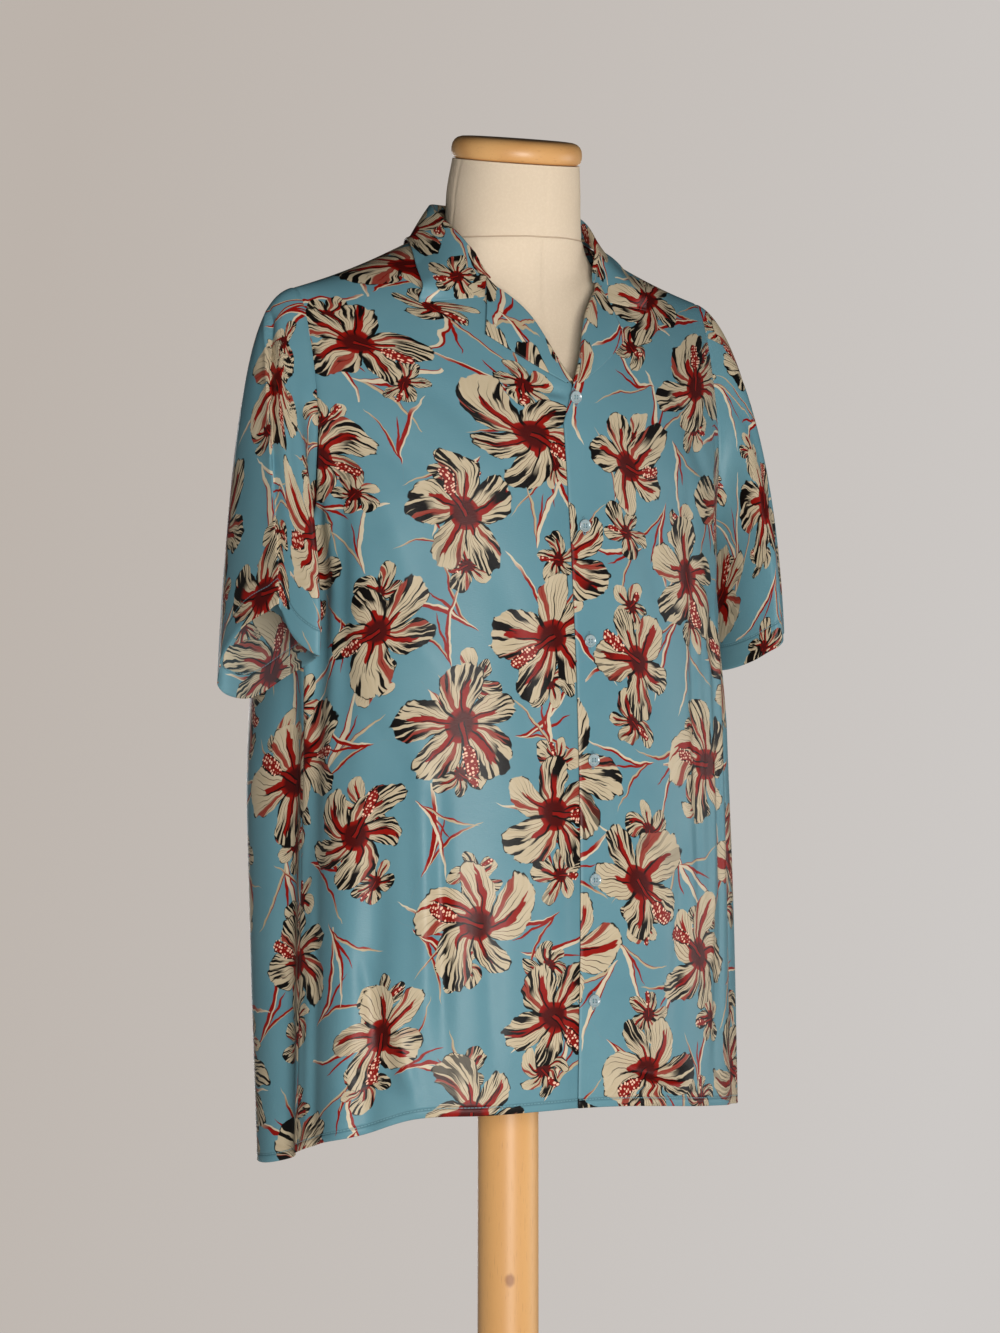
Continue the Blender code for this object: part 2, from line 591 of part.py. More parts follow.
def make_button(number, z, material):
    """A sew-through button: a low disc with a raised rim, pierced by nothing because its thread fills it."""
    sides = 14
    y = front_y(np.array(0.0), np.array(z)) - 0.0006
    profile = ((0.0, 0.0), (0.80, 0.0), (1.0, 0.35), (1.0, 0.75), (0.86, 1.0), (0.66, 0.82), (0.0, 0.82))
    around = np.linspace(0, 2 * np.pi, sides, endpoint=False)
    points = [(0.0, y, z)]
    for radius, height in profile[1:-1]:
        for turn in around:
            points.append((BUTTON_RADIUS * radius * np.cos(turn), y - BUTTON_THICKNESS * height,
                           z + BUTTON_RADIUS * radius * np.sin(turn)))
    points.append((0.0, y - BUTTON_THICKNESS * profile[-1][1], z))
    faces = quads_of(len(profile) - 2, sides, 1, True, False)
    last = len(points) - 1
    for j in range(sides):
        k = (j + 1) % sides
        faces.append([0, 1 + k, 1 + j])
        faces.append([last, last - sides + j, last - sides + k])
    add_mesh(f"button_{number}", points, faces, material)


def lathe(name, rings, material):
    """A closed solid through rings of points, all with the same number, its ends closed flat."""
    count = rings.shape[1]
    points = rings.reshape(-1, 3)
    faces = quads_of(len(rings), count, 0, True, False)
    faces.append(list(range(count))[::-1])
    last = (len(rings) - 1) * count
    faces.append([last + j for j in range(count)])
    return add_mesh(name, points, faces, material)


def circle_rings(profile, sides):
    """Rings of a turned piece from its profile's radii and heights."""
    around = np.linspace(0, 2 * np.pi, sides, endpoint=False)
    return np.array([
        [(r * np.cos(a), r * np.sin(a), z) for a in around] for r, z in profile
    ])


def make_form(material):
    """The padded torso with its neck, one smooth solid through oval rings."""
    sides = 30
    heights = np.concatenate([np.linspace(FORM_BOTTOM_Z, 1.40, 12), np.linspace(1.42, 1.515, 9),
                              np.array([1.535, 1.555, 1.577])])
    around = np.linspace(0, 2 * np.pi, sides, endpoint=False)
    rings = []
    for z in heights:
        half_width = smooth(FORM, FORM_COLUMNS, "half_width", z)
        front = smooth(FORM, FORM_COLUMNS, "front_y", z)
        back = smooth(FORM, FORM_COLUMNS, "back_y", z)
        middle = (front + back) / 2
        depth = (back - front) / 2
        pinch = smooth(FORM, FORM_COLUMNS, "pinch", z)
        x = half_width * np.sign(np.cos(around)) * np.abs(np.cos(around)) ** pinch
        y = middle + depth * np.sign(np.sin(around)) * np.abs(np.sin(around)) ** pinch
        ring = np.stack([x, y, np.full(sides, z)], axis=-1)
        lean = ease((z - 1.50) / 0.077)
        ring[:, 2] += lean * (ring[:, 1] - middle) * np.tan(NECK_TILT)
        rings.append(ring)
    lathe("form_torso", np.array(rings), material)


def make_neck_cap(material):
    """The turned cap: a flat disc with a rounded rim, tilted with the neck."""
    profile = ((0.0535, 0.0), (0.0572, 0.0035), (0.0578, 0.0090), (0.0560, 0.0155), (0.0520, 0.0190), (0.0460, 0.0203))
    rings = circle_rings(profile, 30)
    tilt = np.array([[1, 0, 0], [0, np.cos(NECK_TILT), -np.sin(NECK_TILT)], [0, np.sin(NECK_TILT), np.cos(NECK_TILT)]])
    rings = rings @ tilt.T
    rings += np.array([0.0, -0.014, 1.577 + SEAM_GAP])
    lathe("neck_cap", rings, material)


def make_stand(material):
    """The pole, and the plain round foot that it is let into."""
    pole = ((POLE_RADIUS, BASE_HEIGHT + SEAM_GAP), (POLE_RADIUS, FORM_BOTTOM_Z - SEAM_GAP))
    lathe("pole", circle_rings(pole, 28), material)
    base = ((BASE_RADIUS - 0.003, 0.0), (BASE_RADIUS, 0.003), (BASE_RADIUS, BASE_HEIGHT - 0.008),
            (BASE_RADIUS - 0.003, BASE_HEIGHT - 0.002), (BASE_RADIUS - 0.010, BASE_HEIGHT))
    lathe("base", circle_rings(base, 40), material)


def main():
    clear_scene()
    cloth = make_material("printed_satin", (0.12, 0.30, 0.38), 0.45)
    canvas = make_material("canvas", (0.82, 0.70, 0.51), 0.9)
    wood = make_material("pale_wood", (0.74, 0.40, 0.16), 0.5)
    pearl = make_material("button_pearl", (0.75, 0.78, 0.78), 0.25)
    make_front("front_left", 1, cloth)
    make_front("front_right", -1, cloth)
    make_back(cloth)
    for name, row in SLEEVES.items():
        make_sleeve(name, row, cloth)
    make_lapel("lapel_right", -1, cloth)
    make_lapel("lapel_left", 1, cloth)
    make_collar(cloth)
    for number, z in enumerate(BUTTON_HEIGHTS, start=1):
        make_button(number, z, pearl)
    make_form(canvas)
    make_neck_cap(wood)
    make_stand(wood)


main()
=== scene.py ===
import bpy
import numpy as np
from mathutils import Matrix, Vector


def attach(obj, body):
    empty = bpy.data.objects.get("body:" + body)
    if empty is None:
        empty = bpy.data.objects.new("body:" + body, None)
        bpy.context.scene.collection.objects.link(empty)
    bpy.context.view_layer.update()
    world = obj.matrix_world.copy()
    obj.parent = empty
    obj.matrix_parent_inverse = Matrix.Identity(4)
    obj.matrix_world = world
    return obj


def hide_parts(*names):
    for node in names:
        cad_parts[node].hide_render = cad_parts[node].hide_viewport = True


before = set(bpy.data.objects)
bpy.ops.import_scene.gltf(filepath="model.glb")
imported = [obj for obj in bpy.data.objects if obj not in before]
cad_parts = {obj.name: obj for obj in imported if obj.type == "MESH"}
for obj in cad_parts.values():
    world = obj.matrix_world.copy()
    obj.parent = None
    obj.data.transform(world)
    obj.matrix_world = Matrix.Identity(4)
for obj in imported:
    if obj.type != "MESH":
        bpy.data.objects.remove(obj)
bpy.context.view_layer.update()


# ---------------------------------------------------------------- camera, floor and light
# A long lens looks level at the stand from 30 degrees to the wearer's right. The floor is a plain pale
# disc with a painted glow, which stands in for the room's upper light on it. Soft lamps stand before the
# stand, to its left and behind it, in a warm grey room with a dim ceiling.
EYE_HEIGHT = 1.132
EYE_DISTANCE = 4.5
EYE_TURN = np.radians(-30.0)
EYE_SHIFT = -0.0071             # sideways, so that the pole stands right of the middle
LENS_MM = 137.33
SENSOR_MM = 36.0
FLOOR_RADIUS = 3.0
FLOOR_SIDES = 96
FLOOR_GLOW = 0.30               # painted glow standing in for the room's upper light on the floor
ROOM_DIM = (188, 179, 171)
ROOM_LIT = (205, 201, 198)
LIT_WAY = (0.866, -0.5, -0.25)  # towards the room's lighter side
LIT_SPAN = 0.11
AIR_LIGHT = (0.22, 0.2134, 0.2046, 1.0)
CEILING_LIGHT = (0.02, 0.02, 0.02, 1.0)
CEILING_FROM = -0.05
CEILING_TO = 0.28
LAMP_COLUMNS = ("name", "place", "aim_height", "width", "height", "watts", "colour")
LAMPS = (
    ("window", (-1.25, -3.52, 0.98), 1.08, 1.6, 1.1, 118, (1.0, 0.98, 0.95)),
    ("fill", (3.4, -1.2, 0.9), 1.10, 1.6, 1.6, 26, (1.0, 1.0, 1.0)),
    ("back_fill", (1.6, 3.6, 0.95), 1.20, 2.4, 1.6, 34, (1.0, 1.0, 1.0)),
)


def tone(red, green, blue):
    """A colour given as on a screen, 0 to 255, in the shader's linear light: ((c + 0.055) / 1.055) ** 2.4."""
    screen = np.array([red, green, blue]) / 255.0
    linear = np.where(screen <= 0.04045, screen / 12.92, ((screen + 0.055) / 1.055) ** 2.4)
    return (*map(float, linear), 1.0)


class Value:
    """One number at each point of a surface. What is reckoned with Values becomes Math nodes."""

    def __init__(self, tree, socket):
        self.tree = tree
        self.socket = socket

    def maths(self, operation, *others, first=None):
        """One Math node on this value and the others, or on first and this value."""
        node = self.tree.nodes.new("ShaderNodeMath")
        node.operation = operation
        parts = (self, *others) if first is None else (first, self)
        for place, part in zip(node.inputs, parts):
            if isinstance(part, Value):
                self.tree.links.new(part.socket, place)
            else:
                place.default_value = float(part)
        return Value(self.tree, node.outputs[0])

    def __add__(self, other):
        return self.maths("ADD", other)

    def __sub__(self, other):
        return self.maths("SUBTRACT", other)

    def __rsub__(self, other):
        return self.maths("SUBTRACT", first=other)

    def __mul__(self, other):
        return self.maths("MULTIPLY", other)

    def __truediv__(self, other):
        return self.maths("DIVIDE", other)

    def __pow__(self, other):
        return self.maths("POWER", other)

    def __lt__(self, other):
        return self.maths("LESS_THAN", other)

    def __abs__(self):
        return self.maths("ABSOLUTE")

    __radd__ = __add__
    __rmul__ = __mul__


class Nodes:
    """A node tree, to which one method adds every node."""

    def __init__(self, tree):
        self.tree = tree

    def set(self, node, sockets):
        """Gives each named or numbered socket its value or its link."""
        for place, part in sockets.items():
            if isinstance(part, Value):
                part = part.socket
            if isinstance(part, bpy.types.NodeSocket):
                self.tree.links.new(part, node.inputs[place])
            else:
                node.inputs[place].default_value = part

    def node(self, kind, settings, sockets):
        """Any node: its type, its settings, which are set first, and its sockets' values or links."""
        node = self.tree.nodes.new("ShaderNode" + kind)
        for name, setting in settings.items():
            setattr(node, name, setting)
        self.set(node, sockets)
        return node

    def value(self, socket):
        """A socket as a number to reckon with."""
        return Value(self.tree, socket)

    def place(self):
        """Where a point is, in metres from the foot's middle."""
        return self.node("TexCoord", {}, {}).outputs["Object"]

    def blend(self, share, under, over):
        """The colour under where share is 0 and over where it is 1."""
        return self.node("Mix", {"data_type": "RGBA"}, {0: share, 6: under, 7: over}).outputs[2]

    def step(self, value, low, high):
        """0 where value is below low, 1 above high and a soft step between; turned round where low > high."""
        if low > high:
            return 1 - self.step(value, high, low)
        node = self.node("MapRange", {"interpolation_type": "SMOOTHSTEP"}, {0: value, 1: low, 2: high})
        return self.value(node.outputs[0])

    def noise(self, vector, scale, detail=2.0, seed=0.0):
        """Soft noise between 0 and 1 at so many lumps a metre."""
        sockets = {"Vector": vector, "W": seed, "Scale": scale, "Detail": detail}
        return self.value(self.node("TexNoise", {"noise_dimensions": "4D"}, sockets).outputs[0])

    def vector(self, x, y, z=0.0):
        """Three numbers joined into one place or direction."""
        return self.node("CombineXYZ", {}, {0: x, 1: y, 2: z}).outputs[0]

    def parts(self, vector):
        """The three numbers of a place, a direction or a colour."""
        return [self.value(socket) for socket in self.node("SeparateXYZ", {}, {0: vector}).outputs]


class Finish(Nodes):
    """A material with a Principled BSDF."""

    def __init__(self, name, roughness, **sockets):
        self.material = bpy.data.materials.new(name)
        self.material.use_nodes = True
        super().__init__(self.material.node_tree)
        self.shader = self.tree.nodes["Principled BSDF"]
        self.set(self.shader, {"Roughness": roughness, **sockets})

    def relief(self, height, depth):
        """Bumps of the given depth in metres where height goes from 0 to 1."""
        bump = self.node("Bump", {}, {"Strength": 1.0, "Distance": depth, "Height": height})
        self.set(self.shader, {"Normal": bump.outputs[0]})


def show(name, points, faces, materials):
    """A smooth-shaded mesh object at the origin."""
    mesh = bpy.data.meshes.new(name)
    mesh.from_pydata(points.reshape(-1, 3).tolist(), [], faces)
    mesh.shade_smooth()
    for material in materials:
        mesh.materials.append(material)
    piece = bpy.data.objects.new(name, mesh)
    bpy.context.scene.collection.objects.link(piece)
    return piece


floor_angle = np.linspace(0, 2 * np.pi, FLOOR_SIDES, endpoint=False)
rim = FLOOR_RADIUS * np.stack([np.cos(floor_angle), np.sin(floor_angle), 0 * floor_angle], axis=-1)
# The floor's colour also feeds its emission: a painted glow that lights the stand a little from below.
floor_finish = Finish("floor_colour_and_glow", 0.7, **{"Emission Strength": FLOOR_GLOW})
floor_cloud = floor_finish.noise(floor_finish.place(), 1.5, 4.0)
floor_colour_and_glow = floor_finish.blend(floor_cloud, tone(206, 202, 197), tone(214, 211, 206))
floor_finish.set(floor_finish.shader, {"Base Color": floor_colour_and_glow, "Emission Color": floor_colour_and_glow})
floor = show("floor", rim, [list(range(FLOOR_SIDES))], [floor_finish.material])

room = bpy.data.worlds.new("room")
bpy.context.scene.world = room
room.use_nodes = True
air = Nodes(room.node_tree)
way = air.node("TexCoord", {}, {}).outputs["Generated"]
slope = air.node("VectorMath", {"operation": "DOT_PRODUCT"}, {0: way, 1: LIT_WAY}).outputs["Value"]
shade = air.node("MapRange", {}, {"Value": slope, "From Min": -LIT_SPAN, "From Max": LIT_SPAN}).outputs[0]
wall = air.blend(shade, tone(*ROOM_DIM), tone(*ROOM_LIT))
upward = air.parts(way)[2]
ceiling = air.node("MapRange", {}, {"Value": upward, "From Min": CEILING_FROM, "From Max": CEILING_TO})
air_light = air.blend(ceiling.outputs[0], AIR_LIGHT, CEILING_LIGHT)
seen = air.node("LightPath", {}, {}).outputs["Is Camera Ray"]
air.set(air.tree.nodes["Background"], {"Color": air.blend(seen, air_light, wall)})


def lamp(name, place, aim_height, width, height, watts, colour):
    """A rectangular soft lamp that faces a point on the stand's middle line."""
    data = bpy.data.lights.new(name, "AREA")
    data.shape = "RECTANGLE"
    data.size, data.size_y = width, height
    data.energy = watts
    data.color = colour
    thing = bpy.data.objects.new(name, data)
    bpy.context.scene.collection.objects.link(thing)
    thing.location = place
    thing.rotation_mode = "QUATERNION"
    thing.rotation_quaternion = (Vector(place) - Vector((0.0, 0.0, aim_height))).to_track_quat("Z", "Y")


for row in LAMPS:
    lamp(**dict(zip(LAMP_COLUMNS, row)))

camera = bpy.data.cameras.new("camera")
camera.sensor_width = SENSOR_MM
camera.lens = LENS_MM
camera.clip_start = 0.1
camera.clip_end = 60.0
eye = bpy.data.objects.new("camera", camera)
bpy.context.scene.collection.objects.link(eye)
eye.location = (
    EYE_DISTANCE * np.sin(EYE_TURN) + EYE_SHIFT * np.cos(EYE_TURN),
    -EYE_DISTANCE * np.cos(EYE_TURN) + EYE_SHIFT * np.sin(EYE_TURN),
    EYE_HEIGHT,
)
eye.rotation_euler = (np.radians(90.0), 0.0, EYE_TURN)
bpy.context.scene.camera = eye
bpy.context.scene.view_settings.view_transform = "Standard"


# ---------------------------------------------------------------- pole, round foot and neck cap
# Turned from pale lime or beech and varnished. The pole is let into the foot, and the cap closes the
# form's neck. The grain runs up the pole, and across the foot and the cap.
CAP_CENTRE = (0.0, -0.014, 1.5773)
NECK_TILT = np.radians(8.0)
KNOT_X = -0.012
KNOT_Z = 0.592
# Each profile is a list of radius and height, from the middle of the underside to the middle of the top.
FOOT_PROFILE = (
    (0.0, 0.0), (0.168, 0.0), (0.172, 0.0004), (0.1745, 0.0022), (0.175, 0.005), (0.175, 0.015),
    (0.1745, 0.019), (0.1725, 0.0225), (0.169, 0.0250), (0.164, 0.026), (0.120, 0.026), (0.036, 0.026),
    (0.033, 0.0262), (0.0275, 0.0262), (0.0275, 0.024), (0.0, 0.024),
)
POLE_PROFILE = (
    (0.0, 0.0245), (0.0268, 0.0245), (0.027, 0.027), (0.027, 0.20), (0.027, 0.42), (0.027, 0.62),
    (0.027, 0.8145), (0.0262, 0.8148), (0.0, 0.8148),
)
CAP_PROFILE = (
    (0.0, 0.0), (0.0520, 0.0), (0.0545, 0.0006), (0.0568, 0.0026), (0.0577, 0.0060), (0.0578, 0.0095),
    (0.0571, 0.0135), (0.0553, 0.0166), (0.0527, 0.0187), (0.0490, 0.0199), (0.0440, 0.0203), (0.0, 0.0203),
)


def grid_quads(rows, columns, wrapped):
    """A grid's faces, as four corners each; wrapped joins its last column to its first."""
    i, j = np.meshgrid(np.arange(rows - 1), np.arange(columns if wrapped else columns - 1), indexing="ij")
    k = (j + 1) % columns
    low, high = i * columns, (i + 1) * columns
    return np.stack([low + j, low + k, high + k, high + j], axis=-1).reshape(-1, 4)


def ring_faces(rows, columns):
    """Faces of a grid whose second direction closes on itself, its first and last rows shut by one face."""
    faces = grid_quads(rows, columns, True).tolist()
    faces.append(list(range(columns))[::-1])
    faces.append(list(range((rows - 1) * columns, rows * columns)))
    return faces


def turned(name, profile, sides, material, place=(0.0, 0.0, 0.0), tilt=0.0):
    """A lathe piece: each (radius, height) of the profile becomes the circle (r cos a, r sin a, h), then all
    lean forwards by tilt. A hair's breadth stands in for a radius of nothing, and the ends are shut."""
    a = np.linspace(0, 2 * np.pi, sides, endpoint=False)
    r, h = np.array(profile).T[:, :, None]
    r = np.maximum(r, 0.0005)
    upright = np.stack([r * np.cos(a), r * np.sin(a), h + 0 * a], axis=-1)
    lean = np.array([[1, 0, 0], [0, np.cos(tilt), -np.sin(tilt)], [0, np.sin(tilt), np.cos(tilt)]])
    points = upright @ lean.T + np.array(place)
    piece = show(name, points, ring_faces(len(profile), sides), [material])
    piece.data.set_sharp_from_angle(angle=np.radians(48))
    return piece


def varnished_wood(name, along):
    """Pale wood: rings of a slowly bent distance from a far heart, drawn out along the grain, with fine
    pores as short dark dashes and one small knot on the pole. along is the grain's axis, 0 for x, 2 for z."""
    wood = Finish(name, 0.42, **{"Coat Weight": 0.25, "Coat Roughness": 0.28, "Specular IOR Level": 0.4})
    place = wood.place()
    stretch = [1.0, 1.0, 1.0]
    stretch[along] = 0.07
    drawn = wood.node("Mapping", {}, {"Vector": place, "Scale": stretch}).outputs[0]
    x, y, _ = wood.parts(drawn)
    bend = wood.noise(drawn, 14.0, 3.0) - 0.5
    across = y + x * 0.35
    rings = ((across * 170 + bend * 9).maths("SINE") * 0.5 + 0.5) ** 2.0
    pores = wood.step(wood.noise(drawn, 900.0, 2.0, 3.0), 0.60, 0.72)
    cloud = wood.noise(drawn, 30.0, 3.0, 8.0)
    colour = wood.blend(cloud, tone(214, 160, 98), tone(232, 182, 120))
    colour = wood.blend(rings * 0.38, colour, tone(190, 130, 70))
    if along == 2:
        side, fore, up = wood.parts(place)
        side, up = side - KNOT_X, up - KNOT_Z
        off = (side * side * 2.2 + up * up) ** 0.5
        knot = wood.step(off + (wood.noise(place, 120.0) - 0.5) * 0.004, 0.0075, 0.003) * (fore < 0.0)
        colour = wood.blend(knot * 0.75, colour, tone(140, 82, 38))
    colour = wood.blend(pores * 0.30, colour, tone(150, 96, 48))
    wood.set(wood.shader, {"Base Color": colour, "Roughness": 0.38 + cloud * 0.14})
    wood.relief(rings * 0.5 - pores * 0.6, 0.00012)
    return wood.material


upright_wood = varnished_wood("pale_wood_upright", 2)
flat_wood = varnished_wood("pale_wood_flat", 0)
foot = turned("round_foot", FOOT_PROFILE, 160, flat_wood)
pole = turned("round_pole", POLE_PROFILE, 96, upright_wood)
cap = turned("turned_cap", CAP_PROFILE, 128, flat_wood, CAP_CENTRE, NECK_TILT)
for piece, node in ((foot, "base"), (pole, "pole"), (cap, "neck_cap")):
    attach(piece, "root")
    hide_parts(node)


# ---------------------------------------------------------------- dress form
# A limbless padded torso with its neck, covered in close unbleached canvas. The cover is sewn from
# vertical panels, and a flat seam runs round the foot of the neck.
FORM_COLUMNS = ("z", "half_width", "front_y", "back_y", "pinch")
FORM = (
    (0.815, 0.1620, -0.100, 0.104, 1.00),
    (0.900, 0.1610, -0.101, 0.103, 1.00),
    (1.000, 0.1480, -0.098, 0.088, 1.00),
    (1.080, 0.1440, -0.098, 0.082, 1.00),
    (1.180, 0.1560, -0.106, 0.094, 1.00),
    (1.280, 0.1700, -0.110, 0.106, 1.00),
    (1.350, 0.1770, -0.096, 0.104, 1.00),
    (1.400, 0.1760, -0.078, 0.094, 1.00),
    (1.430, 0.1630, -0.066, 0.080, 1.10),
    (1.455, 0.1340, -0.061, 0.068, 1.22),
    (1.476, 0.0980, -0.059, 0.056, 1.30),
    (1.492, 0.0760, -0.060, 0.050, 1.18),
    (1.508, 0.0650, -0.063, 0.048, 1.05),
    (1.530, 0.0605, -0.066, 0.049, 1.00),
    (1.548, 0.0595, -0.068, 0.049, 1.00),
    (1.577, 0.0562, -0.070, 0.042, 1.00),
)
FORM_SIDES = 192
FORM_RINGS = 170
FORM_BOTTOM_Z = 0.815
FORM_TOP_Z = 1.577
NECK_LEANS_FROM = 1.500
NECK_SEAM_Z = 1.509
NECK_SEAM_WIDTH = 0.0012
NECK_SEAM_DIP = 0.0007
PANEL_SEAMS = np.radians([270.0, 90.0, 0.0, 180.0])
PANEL_SEAM_WIDTH = 0.0014
PANEL_SEAM_DIP = 0.0006
YARNS = 1500                    # a metre
COVER_PER_TURN = 0.16           # metres of cover for each radian round the torso


def column(table, columns, name):
    """One named column of a table, as an array."""
    return np.array([row[columns.index(name)] for row in table], float)


def smooth(table, columns, name, at):
    """A column read between its rows on the cubic h00 a + h10 d m + h01 b + h11 d n, whose slopes m and n
    are those of the neighbouring rows."""
    keys = column(table, columns, columns[0])
    values = column(table, columns, name)
    at = np.clip(np.asarray(at, float), keys[0], keys[-1])
    slopes = np.gradient(values, keys)
    row = np.clip(np.searchsorted(keys, at, side="right") - 1, 0, len(keys) - 2)
    span = keys[row + 1] - keys[row]
    t = (at - keys[row]) / span
    return (
        (2 * t**3 - 3 * t**2 + 1) * values[row]
        + (t**3 - 2 * t**2 + t) * span * slopes[row]
        + (3 * t**2 - 2 * t**3) * values[row + 1]
        + (t**3 - t**2) * span * slopes[row + 1]
    )


def ease(value):
    """0 below 0, 1 above 1 and 3 t^2 - 2 t^3 between."""
    t = np.clip(value, 0.0, 1.0)
    return t * t * (3 - 2 * t)


def put_map(mesh, name, across, along):
    """A UV map from one pair of numbers a vertex."""
    layer = mesh.uv_layers.new(name=name)
    corner = np.empty(len(mesh.loops), int)
    mesh.loops.foreach_get("vertex_index", corner)
    flat = np.stack([across.ravel()[corner], along.ravel()[corner]], axis=-1)
    layer.uv.foreach_set("vector", flat.ravel())


def form_surface():
    """Ovals x = w sgn(cos a)|cos a|^p, y = m + d sgn(sin a)|sin a|^p up the torso; above the shoulders each
    ring leans with the cap. Along the panel seams and the neck seam the canvas dips by under a millimetre."""
    z = np.linspace(FORM_BOTTOM_Z, FORM_TOP_Z, FORM_RINGS)[:, None]
    a = np.linspace(0, 2 * np.pi, FORM_SIDES, endpoint=False)[None, :]
    half_width = smooth(FORM, FORM_COLUMNS, "half_width", z)
    front = smooth(FORM, FORM_COLUMNS, "front_y", z)
    back = smooth(FORM, FORM_COLUMNS, "back_y", z)
    pinch = smooth(FORM, FORM_COLUMNS, "pinch", z)
    middle, depth = (front + back) / 2, (back - front) / 2
    x = half_width * np.sign(np.cos(a)) * np.abs(np.cos(a)) ** pinch
    y = middle + depth * np.sign(np.sin(a)) * np.abs(np.sin(a)) ** pinch
    seam = np.exp(-(((z - NECK_SEAM_Z) / NECK_SEAM_WIDTH) ** 2)) * NECK_SEAM_DIP
    for turn in PANEL_SEAMS:
        off = np.abs((a - turn + np.pi) % (2 * np.pi) - np.pi) * half_width
        seam = np.maximum(seam, np.exp(-((off / PANEL_SEAM_WIDTH) ** 2)) * PANEL_SEAM_DIP)
    x, y = x * (1 - seam / half_width), middle + (y - middle) * (1 - seam / depth)
    lean = ease((z - NECK_LEANS_FROM) / (FORM_TOP_Z - NECK_LEANS_FROM)) * (y - middle) * np.tan(NECK_TILT)
    return np.stack([x, y, z + lean], axis=-1), a + 0 * z, z + 0 * a


canvas = Finish("form_canvas", 0.86, **{"Specular IOR Level": 0.25})
cover = canvas.node("UVMap", {"uv_map": "Cover"}, {}).outputs[0]
cover_u, cover_v, _ = canvas.parts(cover)
body_place = canvas.place()
warp_yarn = (cover_u * (2 * np.pi * YARNS)).maths("SINE") * 0.5 + 0.5
weft_yarn = (cover_v * (2 * np.pi * YARNS)).maths("SINE") * 0.5 + 0.5
slub = canvas.noise(body_place, 420.0, 3.0)
stain = canvas.noise(body_place, 9.0, 3.0, 4.0)
weave = warp_yarn * weft_yarn
linen = canvas.blend(stain, tone(240, 219, 192), tone(248, 231, 208))
# Painted shade between the yarns of the weave, and darker patches where the slub noise is low.
linen = canvas.blend((1 - weave) * 0.12 + canvas.step(slub, 0.62, 0.45) * 0.10, linen, tone(214, 190, 158))
neck_seam = canvas.step(abs(cover_v - NECK_SEAM_Z + canvas.noise(body_place, 30.0) * 0.002), 0.0009, 0.0003)
linen = canvas.blend(neck_seam * 0.55, linen, tone(186, 150, 120))
canvas.set(canvas.shader, {"Base Color": linen})
canvas.relief(weave * 0.4 + slub * 0.5 - neck_seam * 1.5, 0.00035)

points, turn, height = form_surface()
form = show("canvas_torso", points, ring_faces(FORM_RINGS, FORM_SIDES), [canvas.material])
form.data.set_sharp_from_angle(angle=np.radians(60))
put_map(form.data, "Cover", turn * COVER_PER_TURN, height)
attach(form, "root")
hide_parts("form_torso")


# ---------------------------------------------------------------- printed satin
# Smooth satin, printed on its right side. Cream hibiscus flowers with red throats, dark veins, brushed tips
# and a beaded stamen lie on a blue ground among slender sprigs. The wrong side is paler and matt.
GROUND = (tone(86, 132, 146), tone(108, 150, 161))
CREAM = (tone(182, 164, 133), tone(208, 194, 168))
RED = tone(140, 18, 10)
MAROON = tone(74, 12, 10)
INK = tone(14, 11, 10)
DOT = tone(240, 196, 170)
PETALS = 5
SATIN_GLOSS = 0.17
DRIFT = 0.012                   # how far the print's edges wander, in metres
STITCH_LENGTH = 0.0031
FLOWER_COLUMNS = ("pitch", "shift_u", "shift_v", "radius", "jitter", "seed")
FLOWERS = (
    (0.086, 0.043, 0.000, 0.027, 0.024, 71.0),
    (0.172, 0.000, 0.000, 0.058, 0.030, 11.0),
    (0.172, 0.086, 0.086, 0.062, 0.026, 37.0),
)
LEAF_COLUMNS = ("pitch", "shift_u", "shift_v", "length", "width", "bend", "jitter", "seed")
LEAVES = (
    (0.102, 0.030, 0.010, 0.080, 0.0031, 1.15, 0.020, 5.0),
    (0.088, 0.060, 0.055, 0.068, 0.0026, -1.25, 0.020, 23.0),
)
BLADE_COLUMNS = ("reach", "bend", "width", "colour")
BLADES = ((0.72, 0.06, 0.50, RED), (0.86, -0.34, 0.62, CREAM[0]), (1.0, 0.46, 1.0, CREAM[1]))


def cell(paint, u, v, size):
    """Splits the cloth into square cells of one pitch. Gives the place inside the cell, moved off its middle
    and turned by an amount that differs from cell to cell, and two more numbers of the cell's own."""
    pitch, jitter = size["pitch"], size["jitter"]
    across, up = (u + size["shift_u"]) / pitch, (v + size["shift_v"]) / pitch
    column_number, row_number = across.maths("FLOOR"), up.maths("FLOOR")
    own = paint.node("TexWhiteNoise", {"noise_dimensions": "4D"},
                     {"Vector": paint.vector(column_number, row_number), "W": size["seed"]})
    chance = paint.parts(own.outputs["Color"])
    x = (across - column_number - 0.5) * pitch + (chance[0] - 0.5) * jitter
    y = (up - row_number - 0.5) * pitch + (chance[1] - 0.5) * jitter
    turn = chance[2] * (2 * np.pi)
    cosine, sine = turn.maths("COSINE"), turn.maths("SINE")
    return x * cosine + y * sine, y * cosine - x * sine, chance[0], chance[1]


